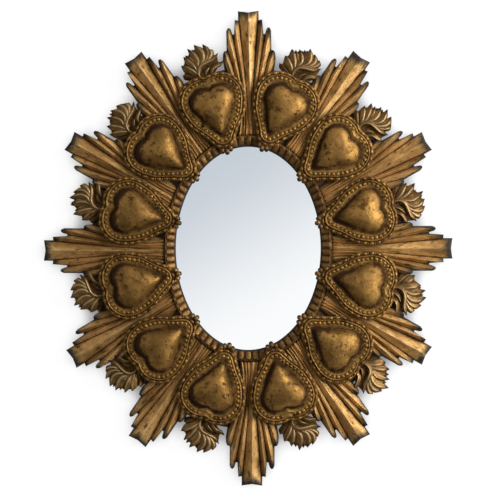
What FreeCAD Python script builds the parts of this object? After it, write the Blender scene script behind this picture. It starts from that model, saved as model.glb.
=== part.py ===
import FreeCAD
import Part
import math
import os

# Oval sunburst wall mirror, gilt wood, in millimetres.
# Every piece is drawn on a sheet: x to the right, y up, z out of the wall towards the room.
# At the end the sheet is stood up, so that the part has +Z up and its front faces -Y.
# The origin is the middle of the oval, in the plane of the wall.

# The whole mirror, from the front
OVERALL_HALF_WIDTH = 328.0
OVERALL_HALF_HEIGHT = 381.0
SIGHT_HALF_WIDTH = 117.0
SIGHT_HALF_HEIGHT = 164.0

# Places in the first quarter, mirrored to the others: polar angle and facing angle, in degrees.
RAY_ANGLES = ((0.0, 0.0), (31.0, 29.5), (59.3, 55.0), (90.0, 90.0))
HEART_ANGLES = ((17.5, 12.8), (48.5, 38.0), (76.5, 70.5))
# How far the end of each of those rays stays inside the overall oval
RAY_SETBACKS = (0.0, 5.0, 7.0, 0.0)
# The pieces were set by hand, so some of them stand a little crooked, by these degrees.
RAY_TURN_ANGLES = {5: 0.5, 7: 0.6, 8: 1.0, 9: 0.7, 10: 0.9}
RAY_LEAN_ANGLES = {4: 1.2, 7: -1.0, 10: -1.3}
HEART_LEAN_ANGLES = {3: -8.0, 4: -3.0, 10: -6.0}
FLAME_LEAN_ANGLES = {3: -4.0, 4: -1.5, 9: 3.0, 10: 3.0}
MIRRORED_FLAMES = (9, 10)

# Wooden carcase ring behind everything
BUMPER_THICKNESS = 6.0
BUMPER_RADIUS = 10.0
BUMPER_ANGLE = 44.0
BUMPER_INSET = 24.0
RING_THICKNESS = 18.0
RING_SIDE_WIDTH = 136.0
RING_END_WIDTH = 126.0
RING_EDGE_ROUND = 3.0
FLAT_TOLERANCE = 0.01
REBATE_WIDTH = 8.0
LIP_SETBACK = 2.0

# Mirror glass and the board behind it, both in the ring's rebate
GLASS_THICKNESS = 4.0
BACKING_THICKNESS = 5.0
REBATE_CLEARANCE = 0.5

# Rim moulding round the sight edge
RIM_WIDTH = 17.0
RIM_HEIGHT = 10.0
RIM_CREST = 4.0
RIM_EDGE_HEIGHT = 3.0
COPE_CLEARANCE = 0.3

# Ray bundle, measured inwards from the line of its end and sideways from its axis
FISHTAIL_DIP = 3.5
CENTRE_HALF = 16.5
STEP_DROP = 15.0
STEP_HALF = 22.0
NOTCH_DROP = 37.5
NOTCH_HALF = 23.5
NOTCH_WIDTH = 2.5
FINGER_DROP = 27.0
FINGER_HALF = 31.0
SHOULDER_DROP = 33.0
SHOULDER_HALF = 36.0
FOURTH_DROP = 66.0
FOURTH_HALF = 41.0
FIFTH_DROP = 86.0
FIFTH_HALF = 44.0
NECK_DROP = 134.0
NECK_HALF = 15.0
FOOT_HALF = 23.0
RAY_APEX_DROP = 170.0
RAY_APEX_HEIGHT = 6.0
RAY_RIDGE_RISE = 6.0
RAY_VALLEY_FALL = 2.5
RAY_PLEAT_ANGLES = (0.0, 5.6, 8.1, 10.6, 13.2, 16.6, 19.4, 22.8)
RAY_OVERRUN = 16.5
FOOT_APEX_DROP = 100.0
FOOT_PLEAT_ANGLES = (0.0, 5.0, 10.0, 15.0)
RAY_SCREW_OFFSET = 95.0

# Heart: two lobe circles and a tip circle give the dome's outline, its borders are offsets of it
HEART_OFFSET = 64.5
LOBE_RADIUS = 23.0
LOBE_SIDE = 13.5
LOBE_RISE = 20.0
TIP_RADIUS = 4.0
TIP_DROP = 39.0
BORDER_WIDTH = 15.0
PEDESTAL_INSET = 2.0
PEDESTAL_HEIGHT = 11.0
FLANGE_THICKNESS = 5.0
FLANGE_ROUND = 2.0
RAIL_OFFSET = 7.0
RAIL_WIDTH = 2.6
RAIL_HEIGHT = 2.2
DOME_HEIGHT = 18.0
DOME_SHARES = (1.0, 0.93, 0.8, 0.6, 0.35, 0.1)
DOME_MIDDLE = 4.0
CROWN_ANGLE = 40.0
FINIAL_RADIUS = 5.0
FINIAL_SIDE_RADIUS = 4.3
FINIAL_OFFSET = 6.0
FINIAL_SPREAD = 8.5
FINIAL_SIDE_RISE = 3.0
FINIAL_TONGUE_HALF = 7.0
FINIAL_TONGUE_OVERHANG = 4.0
FINIAL_TONGUE_LENGTH = 13.0
FINIAL_HEIGHT = 4.6
BEAD_ROUND_SHARE = 0.8

# Flame: tongue tips and the notches between them, from the foot of the flame on the heart's axis
FLAME_TONGUES = ((-32.0, 11.0), (-30.0, 26.0), (-23.0, 38.0), (-12.0, 48.0), (-2.0, 53.0),
                 (9.0, 50.0), (19.0, 42.5), (29.0, 30.0), (32.0, 16.0))
NOTCH_SHARE = 0.86
FLAME_SEAT_GAP = 1.0
FLAME_ROOT_HALF = 15.0
FLAME_ROOT_LENGTH = 14.0
FLAME_RIDGE_HEIGHT = 14.0
FLAME_NOTCH_HEIGHT = 6.0

# Countersunk wood screws that hold the hearts and rays from behind
SCREW_RADIUS = 2.2
SCREW_HEAD_RADIUS = 4.2
SCREW_HEAD_DEPTH = 2.6
SCREW_POINT = 3.0
SCREW_SLOT_WIDTH = 1.0
SCREW_SLOT_DEPTH = 1.0
SCREW_CLEARANCE = 0.05
ROUND_HEAD_SHARE = 0.6
HEART_SCREW_BITE = 14.0
RAY_SCREW_BITE = 5.0

# Turn buttons that hold the backing board
BUTTON_ANGLES = (30.0, 90.0, 150.0, 210.0, 270.0, 330.0)
BUTTON_SETBACK = 9.0
BUTTON_HALF = 5.0
BUTTON_ARM = 17.0
BUTTON_TAIL = 3.0
BUTTON_THICKNESS = 1.4
BUTTON_GAP = 0.15
PIVOT_RADIUS = 1.75
PIVOT_CLEARANCE = 0.08
PIVOT_HEAD_RADIUS = 3.4
PIVOT_HEAD_HEIGHT = 1.5
PIVOT_BITE = 10.0

# Strap hangers with a swinging D ring
HANGER_SIDE_OFFSET = 85.0
HANGER_OFFSET = 26.0
D_WIRE_RADIUS = 1.5
D_SIDE_GAP = 0.5
D_BOW_RISE = 8.0
D_CORNER = 3.0
KNUCKLE_CLEARANCE = 0.05
STRAP_SHEET = 1.2
STRAP_HALF = 6.5
STRAP_LENGTH = 32.0
STRAP_SCREWS = (11.0, 23.0)
STRAP_SCREW_RADIUS = 1.6
STRAP_SCREW_HEAD_RADIUS = 3.0
STRAP_SCREW_HEAD_HEIGHT = 1.4
STRAP_SCREW_BITE = 12.0
D_REST_GAP = 0.3

# Sizes and heights over the wall that follow from the sizes above
RING_BACK = BUMPER_THICKNESS
RING_HALF_WIDTH = SIGHT_HALF_WIDTH + RING_SIDE_WIDTH
RING_HALF_HEIGHT = SIGHT_HALF_HEIGHT + RING_END_WIDTH
RING_FRONT = RING_BACK + RING_THICKNESS
REBATE_DEPTH = GLASS_THICKNESS + BACKING_THICKNESS
LIP_BACK = RING_BACK + REBATE_DEPTH
FLANGE_BACK = RING_FRONT + PEDESTAL_HEIGHT
FLANGE_FRONT = FLANGE_BACK + FLANGE_THICKNESS
FLAME_FOOT = LOBE_RISE + LOBE_RADIUS + BORDER_WIDTH
D_HALF_WIDTH = STRAP_HALF + D_SIDE_GAP + D_CORNER
OUT = FreeCAD.Vector(0, 0, 1)
FULL_TURN = 360.0
ANGLE_DIGITS = 3


def at(x, y, z=0.0):
    return FreeCAD.Vector(x, y, z)


def polar_on(half_width, half_height, angle):
    """The point of an oval that lies at a polar angle from its middle."""
    turn = math.radians(angle)
    reach = 1.0 / math.hypot(math.cos(turn) / half_width, math.sin(turn) / half_height)
    return at(reach * math.cos(turn), reach * math.sin(turn))


def oval_wire(half_width, half_height, z):
    major = max(half_width, half_height)
    minor = min(half_width, half_height)
    oval = Part.Ellipse(at(0, 0, z), major, minor)
    wire = Part.Wire(oval.toShape())
    if half_height > half_width:
        wire.rotate(at(0, 0, z), OUT, 90)
    return wire


def oval_block(half_width, half_height, bottom, top):
    face = Part.Face(oval_wire(half_width, half_height, bottom))
    return face.extrude(at(0, 0, top - bottom))


def sight_oval(margin, bottom, top):
    """A block whose oval stands a margin outside the sight edge."""
    return oval_block(SIGHT_HALF_WIDTH + margin, SIGHT_HALF_HEIGHT + margin, bottom, top)


def polygon_block(points, bottom, top):
    corners = [at(x, y, bottom) for x, y in points]
    face = Part.Face(Part.makePolygon(corners + corners[:1]))
    return face.extrude(at(0, 0, top - bottom))


def fan_block(apex, edge):
    """A flat-backed block of plane facets that all run to one apex; edge points go left to right."""
    apex_x, apex_y, apex_height = apex
    top_apex = at(apex_x, apex_y, apex_height)
    low_apex = at(apex_x, apex_y)
    top = [at(x, y, height) for x, y, height in edge]
    low = [at(x, y) for x, y, height in edge]
    outlines = [[top_apex, top[k], top[k + 1]] for k in range(len(top) - 1)]
    outlines += [[top[k], low[k], low[k + 1], top[k + 1]] for k in range(len(top) - 1)]
    outlines.append([low_apex, low[0], top[0], top_apex])
    outlines.append([low_apex, top_apex, top[-1], low[-1]])
    outlines.append([low_apex] + low[::-1])
    faces = [Part.Face(Part.makePolygon(outline + outline[:1])) for outline in outlines]
    shell = Part.makeShell(faces)
    shell.sewShape()
    block = Part.makeSolid(shell)
    if block.Volume < 0:
        block.reverse()
    return block


def heading(facing):
    turn = math.radians(facing)
    return at(math.cos(turn), math.sin(turn))


def placed(shape, spot, facing):
    """A copy of a piece drawn with +y outwards, turned to its facing and set at its spot."""
    copy = shape.copy()
    copy.rotate(at(0, 0), OUT, facing - 90.0)
    copy.translate(spot)
    return copy


def in_four_quarters(quarter):
    """Spots with their outward headings, mirrored left to right and top to bottom, counter-clockwise."""
    places = {}
    for spot, outward in quarter:
        for across in (1.0, -1.0):
            for up in (1.0, -1.0):
                mirrored = at(across * spot.x, up * spot.y)
                turn = round(math.degrees(math.atan2(mirrored.y, mirrored.x)), ANGLE_DIGITS) % FULL_TURN
                facing = math.degrees(math.atan2(up * outward.y, across * outward.x))
                places[turn] = (mirrored, facing)
    return [places[turn] for turn in sorted(places)]


def heart_wire(offset, z, share=1.0):
    """The heart's outline, moved out by an offset and shrunk to a share about the dome's middle."""
    lobe = LOBE_RADIUS + offset
    tip = TIP_RADIUS + offset
    cleft = LOBE_RISE + math.sqrt(lobe ** 2 - LOBE_SIDE ** 2)
    run = math.hypot(LOBE_SIDE, LOBE_RISE + TIP_DROP)
    lean = math.atan2(LOBE_SIDE, LOBE_RISE + TIP_DROP) + math.asin((lobe - tip) / run)
    side = (math.cos(lean), -math.sin(lean))

    def shrunk(x, y):
        return at(x * share, DOME_MIDDLE + (y - DOME_MIDDLE) * share, z)

    def half(sign):
        lobe_end = shrunk(sign * (LOBE_SIDE + lobe * side[0]), LOBE_RISE + lobe * side[1])
        tip_end = shrunk(sign * tip * side[0], -TIP_DROP + tip * side[1])
        swing = math.radians(CROWN_ANGLE)
        crown = shrunk(sign * (LOBE_SIDE + lobe * math.cos(swing)), LOBE_RISE + lobe * math.sin(swing))
        return lobe_end, crown, tip_end

    right_lobe, right_crown, right_tip = half(1.0)
    left_lobe, left_crown, left_tip = half(-1.0)
    top = shrunk(0, cleft)
    bottom = shrunk(0, -TIP_DROP - tip)
    edges = [Part.Arc(top, right_crown, right_lobe).toShape(),
             Part.LineSegment(right_lobe, right_tip).toShape(),
             Part.Arc(right_tip, bottom, left_tip).toShape(),
             Part.LineSegment(left_tip, left_lobe).toShape(),
             Part.Arc(left_lobe, left_crown, top).toShape()]
    return Part.Wire(edges)


def heart_block(offset, bottom, top):
    face = Part.Face(heart_wire(offset, bottom))
    return face.extrude(at(0, 0, top - bottom))


def screw_profile(radius, head_radius, length, clearance):
    """A countersunk screw about +z, head at the bottom, or the hole that it leaves."""
    wide = radius + clearance
    head = head_radius + clearance
    points = [at(0, 0, 0), at(head, 0, 0), at(wide, 0, SCREW_HEAD_DEPTH),
              at(wide, 0, length - SCREW_POINT), at(0, 0, length + clearance)]
    face = Part.Face(Part.makePolygon(points + points[:1]))
    return face.revolve(at(0, 0), OUT, 360)


def wood_screw(length):
    screw = screw_profile(SCREW_RADIUS, SCREW_HEAD_RADIUS, length, 0.0)
    slot = Part.makeBox(2 * SCREW_HEAD_RADIUS, SCREW_SLOT_WIDTH, SCREW_SLOT_DEPTH,
                        at(-SCREW_HEAD_RADIUS, -SCREW_SLOT_WIDTH / 2))
    return screw.cut(slot)


def screw_hole(length):
    return screw_profile(SCREW_RADIUS, SCREW_HEAD_RADIUS, length, SCREW_CLEARANCE)


def round_head_screw(radius, head_radius, head_height, grip, bite):
    """A round-head screw about +z: its head ends at 0, its shank passes the grip and then bites."""
    head = Part.makeCylinder(head_radius, head_height, at(0, 0, -head_height))
    crown = min(head.Edges, key=lambda edge: edge.BoundBox.ZMax)
    rounded = head.makeFillet(head_height * ROUND_HEAD_SHARE, [crown])
    shank = Part.makeCylinder(radius, grip + bite)
    slot = Part.makeBox(2 * head_radius, SCREW_SLOT_WIDTH, SCREW_SLOT_DEPTH / 2,
                        at(-head_radius, -SCREW_SLOT_WIDTH / 2, -head_height))
    return rounded.fuse(shank).removeSplitter().cut(slot)


# Places of the pieces round the oval
heart_quarter = []
for polar, facing in HEART_ANGLES:
    spot = polar_on(SIGHT_HALF_WIDTH + HEART_OFFSET, SIGHT_HALF_HEIGHT + HEART_OFFSET, polar)
    heart_quarter.append((spot, heading(facing)))

heart_spots = []
flame_spots = []
for number, (spot, facing) in enumerate(in_four_quarters(heart_quarter), 1):
    heart_spots.append((spot, facing + HEART_LEAN_ANGLES.get(number, 0.0)))
    flame_spots.append((spot, facing + FLAME_LEAN_ANGLES.get(number, 0.0)))

ray_quarter = []
for (polar, facing), setback in zip(RAY_ANGLES, RAY_SETBACKS):
    end = polar_on(OVERALL_HALF_WIDTH, OVERALL_HALF_HEIGHT, polar)
    ray_quarter.append((end - heading(facing) * setback, heading(facing)))

ray_spots = []
for number, (end, facing) in enumerate(in_four_quarters(ray_quarter), 1):
    turn = RAY_TURN_ANGLES.get(number, 0.0)
    lean = RAY_LEAN_ANGLES.get(number, 0.0)
    ray_spots.append((FreeCAD.Rotation(OUT, turn).multVec(end), facing + turn + lean))


def screw_spot(ray_spot):
    """The place where a ray's axis crosses the oval line of the ray screws."""
    end, facing = ray_spot
    inward = heading(facing) * -1.0
    half_width = SIGHT_HALF_WIDTH + RAY_SCREW_OFFSET
    half_height = SIGHT_HALF_HEIGHT + RAY_SCREW_OFFSET
    # Seen with that oval squeezed to a circle of radius 1
    start = at(end.x / half_width, end.y / half_height)
    step = at(inward.x / half_width, inward.y / half_height)
    middle = -start.dot(step) / step.dot(step)
    half_chord = math.sqrt(middle ** 2 - (start.dot(start) - 1.0) / step.dot(step))
    return end + inward * (middle - half_chord)


button_spots = []
for angle in BUTTON_ANGLES:
    margin = LIP_SETBACK + REBATE_WIDTH + BUTTON_SETBACK
    spot = polar_on(SIGHT_HALF_WIDTH + margin, SIGHT_HALF_HEIGHT + margin, angle)
    outward = math.atan2(spot.y / (SIGHT_HALF_HEIGHT + margin) ** 2,
                         spot.x / (SIGHT_HALF_WIDTH + margin) ** 2)
    button_spots.append((spot, math.degrees(outward)))

hanger_rise = SIGHT_HALF_HEIGHT + HANGER_OFFSET
hanger_spots = [at(side * HANGER_SIDE_OFFSET, hanger_rise) for side in (-1, 1)]
HEART_SCREW_LENGTH = RING_THICKNESS + HEART_SCREW_BITE
RAY_SCREW_LENGTH = RING_THICKNESS + RAY_SCREW_BITE
PLATE_GRIP = BUTTON_THICKNESS + 2 * BUTTON_GAP
STRAP_GRIP = 2 * STRAP_SHEET


def finial_bead(radius, middle):
    """A short turned bead, nearly round."""
    bead = Part.makeCylinder(radius, 2 * radius, middle - OUT * radius)
    rims = [edge for edge in bead.Edges if edge.BoundBox.ZLength < FLAT_TOLERANCE]
    return bead.makeFillet(radius * BEAD_ROUND_SHARE, rims)


def heart_piece():
    """One carved heart: a pedestal on the ring, an overhanging border, a rail, a dome and a finial."""
    pedestal = heart_block(-PEDESTAL_INSET, RING_FRONT, FLANGE_BACK)
    flange = heart_block(BORDER_WIDTH, FLANGE_BACK, FLANGE_FRONT - FLANGE_ROUND)
    bevel = Part.makeLoft([heart_wire(BORDER_WIDTH, FLANGE_FRONT - FLANGE_ROUND),
                           heart_wire(BORDER_WIDTH - FLANGE_ROUND, FLANGE_FRONT)], True, True)
    rail_top = FLANGE_FRONT + RAIL_HEIGHT
    rail = heart_block(RAIL_OFFSET + RAIL_WIDTH, FLANGE_FRONT, rail_top)
    rail = rail.cut(heart_block(RAIL_OFFSET, FLANGE_FRONT, rail_top))
    sections = []
    for share in DOME_SHARES:
        height = FLANGE_FRONT + DOME_HEIGHT * math.sqrt(1.0 - share ** 2)
        sections.append(heart_wire(0.0, height, share))
    dome = Part.makeLoft(sections, True, True)
    tip_y = -TIP_DROP - TIP_RADIUS - BORDER_WIDTH
    tongue = Part.makeBox(2 * FINIAL_TONGUE_HALF, FINIAL_TONGUE_LENGTH, FLANGE_THICKNESS,
                          at(-FINIAL_TONGUE_HALF, tip_y - FINIAL_TONGUE_OVERHANG, FLANGE_BACK))
    middle_z = FLANGE_BACK + FINIAL_HEIGHT
    pieces = [flange, bevel, rail, dome, tongue]
    pieces.append(finial_bead(FINIAL_RADIUS, at(0, tip_y - FINIAL_OFFSET, middle_z)))
    for side in (-1, 1):
        lobe = at(side * FINIAL_SPREAD, tip_y - FINIAL_OFFSET + FINIAL_SIDE_RISE, middle_z)
        pieces.append(finial_bead(FINIAL_SIDE_RADIUS, lobe))
    return pedestal.multiFuse(pieces).removeSplitter()


def flame_edge():
    """Tongue tips and notches, left to right, as plan points with heights over the ring."""
    edge = [(-FLAME_ROOT_HALF, FLAME_FOOT, FLAME_NOTCH_HEIGHT)]
    for k, (x, y) in enumerate(FLAME_TONGUES):
        edge.append((x, FLAME_FOOT + y, FLAME_RIDGE_HEIGHT))
        if k + 1 < len(FLAME_TONGUES):
            next_x, next_y = FLAME_TONGUES[k + 1]
            notch_x = (x + next_x) / 2 * NOTCH_SHARE
            notch_y = FLAME_FOOT + (y + next_y) / 2 * NOTCH_SHARE
            edge.append((notch_x, notch_y, FLAME_NOTCH_HEIGHT))
    edge.append((FLAME_ROOT_HALF, FLAME_FOOT, FLAME_NOTCH_HEIGHT))
    return edge


def flame_blank():
    """One flame before it is coped: pleated tongues from a root that goes under the heart's border."""
    root = (0.0, FLAME_FOOT - FLAME_ROOT_LENGTH, PEDESTAL_HEIGHT - FLAME_SEAT_GAP)
    tongues = fan_block(root, flame_edge())
    tongues.translate(at(0, 0, RING_FRONT))
    return tongues


def border_room():
    """The room that a heart's border needs over the root of its flame."""
    return heart_block(BORDER_WIDTH + FLAME_SEAT_GAP, FLANGE_BACK - FLAME_SEAT_GAP,
                       FLANGE_FRONT + FLAME_RIDGE_HEIGHT)


def flame_pocket():
    """The room that a flame needs among the rays."""
    points = [(x, y) for x, y, height in flame_edge()]
    points.append((0.0, FLAME_FOOT - FLAME_ROOT_LENGTH))
    corners = [at(x, y) for x, y in points]
    wire = Part.makePolygon(corners + corners[:1])
    outline = wire.makeOffset2D(COPE_CLEARANCE, 2)
    block = Part.Face(outline).extrude(at(0, 0, RING_THICKNESS))
    block.translate(at(0, 0, RING_FRONT))
    return block


def pleated_edge(angles, reach, end_y, inward):
    """The far edge of a fan of pleats: ridge in the middle, then valleys and ridges in turn."""
    ridge = RAY_APEX_HEIGHT + RAY_RIDGE_RISE * reach / RAY_APEX_DROP
    valley = RAY_APEX_HEIGHT - RAY_VALLEY_FALL * reach / RAY_APEX_DROP
    half = []
    for k, angle in enumerate(angles):
        half.append((reach * math.tan(math.radians(angle)), valley if k % 2 else ridge))
    edge = [(-x, end_y, height) for x, height in half[:0:-1]]
    edge += [(x, end_y, height) for x, height in half]
    if inward:
        edge = [(-x, y, height) for x, y, height in edge]
    return edge


def ray_blank(length):
    """One ray bundle before it is coped to its neighbours, with its end on y = 0."""
    fan = fan_block((0.0, -RAY_APEX_DROP, RAY_APEX_HEIGHT),
                    pleated_edge(RAY_PLEAT_ANGLES, RAY_APEX_DROP + RAY_OVERRUN, RAY_OVERRUN, False))
    right = [(CENTRE_HALF, 0.0), (CENTRE_HALF, -STEP_DROP), (STEP_HALF, -STEP_DROP),
             (NOTCH_HALF, -NOTCH_DROP), (NOTCH_HALF + NOTCH_WIDTH, -NOTCH_DROP),
             (FINGER_HALF, -FINGER_DROP), (SHOULDER_HALF, -SHOULDER_DROP),
             (SHOULDER_HALF, -FOURTH_DROP + NOTCH_WIDTH), (FOURTH_HALF, -FOURTH_DROP),
             (FIFTH_HALF, -FIFTH_DROP), (NECK_HALF, -NECK_DROP)]
    left = [(-x, y) for x, y in right[::-1]]
    thickness = RAY_APEX_HEIGHT + RAY_RIDGE_RISE * 2
    outline = polygon_block([(0.0, -FISHTAIL_DIP)] + right + left, 0.0, thickness)
    blade = fan.common(outline)
    reach = length - FOOT_APEX_DROP
    foot = fan_block((0.0, -FOOT_APEX_DROP, RAY_APEX_HEIGHT),
                     pleated_edge(FOOT_PLEAT_ANGLES, reach, -length, True))
    foot_plan = [(NECK_HALF, -NECK_DROP), (FOOT_HALF, -length), (-FOOT_HALF, -length),
                 (-NECK_HALF, -NECK_DROP)]
    foot = foot.common(polygon_block(foot_plan, 0.0, thickness))
    blank = blade.fuse(foot).removeSplitter()
    blank.translate(at(0, 0, RING_FRONT))
    return blank


def ring_piece():
    """The carcase: an oval ring of board, rebated behind for the glass and drilled for the screws."""
    ring = oval_block(RING_HALF_WIDTH, RING_HALF_HEIGHT, RING_BACK, RING_FRONT)
    outer = [edge for edge in ring.Edges if edge.BoundBox.ZLength < FLAT_TOLERANCE]
    ring = ring.makeFillet(RING_EDGE_ROUND, outer)
    ring = ring.cut(sight_oval(LIP_SETBACK, RING_BACK, RING_FRONT))
    ring = ring.cut(sight_oval(LIP_SETBACK + REBATE_WIDTH, RING_BACK, LIP_BACK))
    holes = []
    for spot, facing in heart_spots:
        hole = screw_hole(HEART_SCREW_LENGTH)
        hole.translate(spot + at(0, 0, RING_BACK))
        holes.append(hole)
    for ray_spot in ray_spots:
        hole = screw_hole(RAY_SCREW_LENGTH)
        hole.translate(screw_spot(ray_spot) + at(0, 0, RING_BACK))
        holes.append(hole)
    for spot, outward in button_spots:
        holes.append(Part.makeCylinder(PIVOT_RADIUS + SCREW_CLEARANCE, PIVOT_BITE + SCREW_CLEARANCE,
                                       spot + at(0, 0, RING_BACK)))
    for spot in hanger_spots:
        for drop in STRAP_SCREWS:
            holes.append(Part.makeCylinder(STRAP_SCREW_RADIUS + SCREW_CLEARANCE,
                                           STRAP_SCREW_BITE + SCREW_CLEARANCE,
                                           spot + at(0, -drop, RING_BACK)))
    return ring.cut(Part.makeCompound(holes))


def rim_piece():
    """The moulding round the sight edge: an outer wall, a crest and a slope down to the glass."""
    rim = sight_oval(RIM_WIDTH, RING_FRONT, RING_FRONT + RIM_HEIGHT)
    slope_wide = RIM_WIDTH - RIM_CREST
    slope = Part.makeLoft([oval_wire(SIGHT_HALF_WIDTH, SIGHT_HALF_HEIGHT, RING_FRONT + RIM_EDGE_HEIGHT),
                           oval_wire(SIGHT_HALF_WIDTH + slope_wide, SIGHT_HALF_HEIGHT + slope_wide,
                                     RING_FRONT + RIM_HEIGHT)], True, True)
    rim = rim.cut(slope)
    return rim.cut(sight_oval(0.0, RING_FRONT, RING_FRONT + RIM_HEIGHT))


def button_piece():
    """A turn button on its pivot, with its long arm along -y."""
    plate = Part.makeBox(2 * BUTTON_HALF, BUTTON_ARM + BUTTON_TAIL, BUTTON_THICKNESS,
                         at(-BUTTON_HALF, -BUTTON_ARM))
    plate = plate.fuse(Part.makeCylinder(BUTTON_HALF, BUTTON_THICKNESS, at(0, -BUTTON_ARM)))
    plate = plate.fuse(Part.makeCylinder(BUTTON_HALF, BUTTON_THICKNESS, at(0, BUTTON_TAIL)))
    plate = plate.removeSplitter()
    return plate.cut(Part.makeCylinder(PIVOT_RADIUS + PIVOT_CLEARANCE, BUTTON_THICKNESS))


KNUCKLE_RADIUS = D_WIRE_RADIUS + KNUCKLE_CLEARANCE + STRAP_SHEET
KNUCKLE_Z = RING_BACK - KNUCKLE_RADIUS


def strap_piece():
    """A hanger strap folded over the ring's bar, with the knuckle's axis on y = 0."""
    strap = Part.makeBox(2 * STRAP_HALF, STRAP_LENGTH, 2 * STRAP_SHEET,
                         at(-STRAP_HALF, -STRAP_LENGTH, RING_BACK - 2 * STRAP_SHEET))
    strap = strap.fuse(Part.makeCylinder(STRAP_HALF, 2 * STRAP_SHEET,
                                         at(0, -STRAP_LENGTH, RING_BACK - 2 * STRAP_SHEET)))
    knuckle_end = at(-STRAP_HALF, 0, KNUCKLE_Z)
    knuckle = Part.makeCylinder(KNUCKLE_RADIUS, 2 * STRAP_HALF, knuckle_end, at(1, 0, 0))
    strap = strap.fuse(knuckle).removeSplitter()
    bore_radius = D_WIRE_RADIUS + KNUCKLE_CLEARANCE
    strap = strap.cut(Part.makeCylinder(bore_radius, 2 * STRAP_HALF, knuckle_end, at(1, 0, 0)))
    for drop in STRAP_SCREWS:
        strap = strap.cut(Part.makeCylinder(STRAP_SCREW_RADIUS + SCREW_CLEARANCE, 2 * STRAP_SHEET,
                                            at(0, -drop, RING_BACK - 2 * STRAP_SHEET)))
    return strap


def ring_lean():
    """How far the D ring's bow leans in, until it rests on the back of the carcase."""
    bow_reach = D_BOW_RISE + D_HALF_WIDTH
    drop = RING_BACK - D_REST_GAP - D_WIRE_RADIUS - KNUCKLE_Z
    return math.degrees(math.asin(drop / bow_reach))


def d_ring_piece():
    """A bent wire D: a straight bar on y = 0 that turns in the knuckle, two legs and a round bow."""
    half = D_HALF_WIDTH
    corner = D_CORNER
    slant = corner * math.sqrt(0.5)
    bar = [at(-half + corner, 0), at(half - corner, 0)]
    legs = [at(half, corner), at(half, D_BOW_RISE)]
    path = Part.Wire([
        Part.LineSegment(*bar).toShape(),
        Part.Arc(bar[1], at(half - corner + slant, corner - slant), legs[0]).toShape(),
        Part.LineSegment(*legs).toShape(),
        Part.Arc(legs[1], at(0, D_BOW_RISE + half), at(-half, D_BOW_RISE)).toShape(),
        Part.LineSegment(at(-half, D_BOW_RISE), at(-half, corner)).toShape(),
        Part.Arc(at(-half, corner), at(-half + corner - slant, corner - slant), bar[0]).toShape()])
    section = Part.Wire(Part.Circle(at(0, 0), at(1, 0, 0), D_WIRE_RADIUS).toShape())
    section.translate(bar[0])
    ring = path.makePipeShell([section], True, False)
    ring.rotate(at(0, 0), at(1, 0, 0), ring_lean())
    ring.translate(at(0, 0, KNUCKLE_Z))
    return ring


pieces = {}
pieces["carcase_ring"] = ring_piece()
pieces["rim_moulding"] = rim_piece()
glass_margin = LIP_SETBACK + REBATE_WIDTH - REBATE_CLEARANCE
pieces["mirror_glass"] = sight_oval(glass_margin, LIP_BACK - GLASS_THICKNESS, LIP_BACK)
pieces["backing_board"] = sight_oval(glass_margin, RING_BACK, RING_BACK + BACKING_THICKNESS)

heart = heart_piece()
flame = flame_blank()
mirrored_flame = flame.mirror(at(0, 0), at(1, 0, 0))
border = border_room()
pocket = flame_pocket()
mirrored_pocket = pocket.mirror(at(0, 0), at(1, 0, 0))
pedestal_room = heart_block(-PEDESTAL_INSET + COPE_CLEARANCE, RING_FRONT, FLANGE_BACK)
rim_room = sight_oval(RIM_WIDTH + COPE_CLEARANCE, RING_FRONT, FLANGE_FRONT)
heart_screw_hole = screw_hole(HEART_SCREW_LENGTH)
ray_screw_hole = screw_hole(RAY_SCREW_LENGTH)

room = [rim_room]
for number, (spot, facing) in enumerate(heart_spots, 1):
    hole = heart_screw_hole.copy()
    hole.translate(spot + at(0, 0, RING_BACK))
    pieces[f"heart_{number:02d}"] = placed(heart, spot, facing).cut(hole)
    room.append(placed(pedestal_room, spot, facing))

for number, flame_spot in enumerate(flame_spots, 1):
    mirrored = number in MIRRORED_FLAMES
    plume = placed(mirrored_flame if mirrored else flame, *flame_spot)
    pieces[f"flame_{number:02d}"] = plume.cut(placed(border, *heart_spots[number - 1])).removeSplitter()
    room.append(placed(mirrored_pocket if mirrored else pocket, *flame_spot))

longest = OVERALL_HALF_HEIGHT - SIGHT_HALF_HEIGHT - RIM_WIDTH
longest = max(longest, OVERALL_HALF_WIDTH - SIGHT_HALF_WIDTH - RIM_WIDTH) + RIM_WIDTH
blank = ray_blank(longest)
for number, ray_spot in enumerate(ray_spots, 1):
    bundle = placed(blank, *ray_spot)
    near = [block for block in room if block.BoundBox.intersect(bundle.BoundBox)]
    hole = ray_screw_hole.copy()
    hole.translate(screw_spot(ray_spot) + at(0, 0, RING_BACK))
    bundle = bundle.cut(near + [hole])
    # Slivers that the coping might cut loose fall away.
    pieces[f"ray_bundle_{number:02d}"] = max(bundle.Solids, key=lambda solid: solid.Volume)

heart_screw = wood_screw(HEART_SCREW_LENGTH)
heart_screw.translate(at(0, 0, RING_BACK))
pieces["heart_screws"] = Part.makeCompound([placed(heart_screw, spot, facing)
                                            for spot, facing in heart_spots])
ray_screw = wood_screw(RAY_SCREW_LENGTH)
ray_screw.translate(at(0, 0, RING_BACK))
pieces["ray_screws"] = Part.makeCompound([placed(ray_screw, screw_spot(ray_spot), ray_spot[1])
                                          for ray_spot in ray_spots])

button = button_piece()
button.translate(at(0, 0, RING_BACK - BUTTON_GAP - BUTTON_THICKNESS))
pivot = round_head_screw(PIVOT_RADIUS, PIVOT_HEAD_RADIUS, PIVOT_HEAD_HEIGHT, PLATE_GRIP, PIVOT_BITE)
pivot.translate(at(0, 0, RING_BACK - PLATE_GRIP))
pivots = []
for number, (spot, outward) in enumerate(button_spots, 1):
    pieces[f"turn_button_{number}"] = placed(button, spot, outward)
    pivots.append(placed(pivot, spot, outward))
pieces["turn_button_screws"] = Part.makeCompound(pivots)

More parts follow.
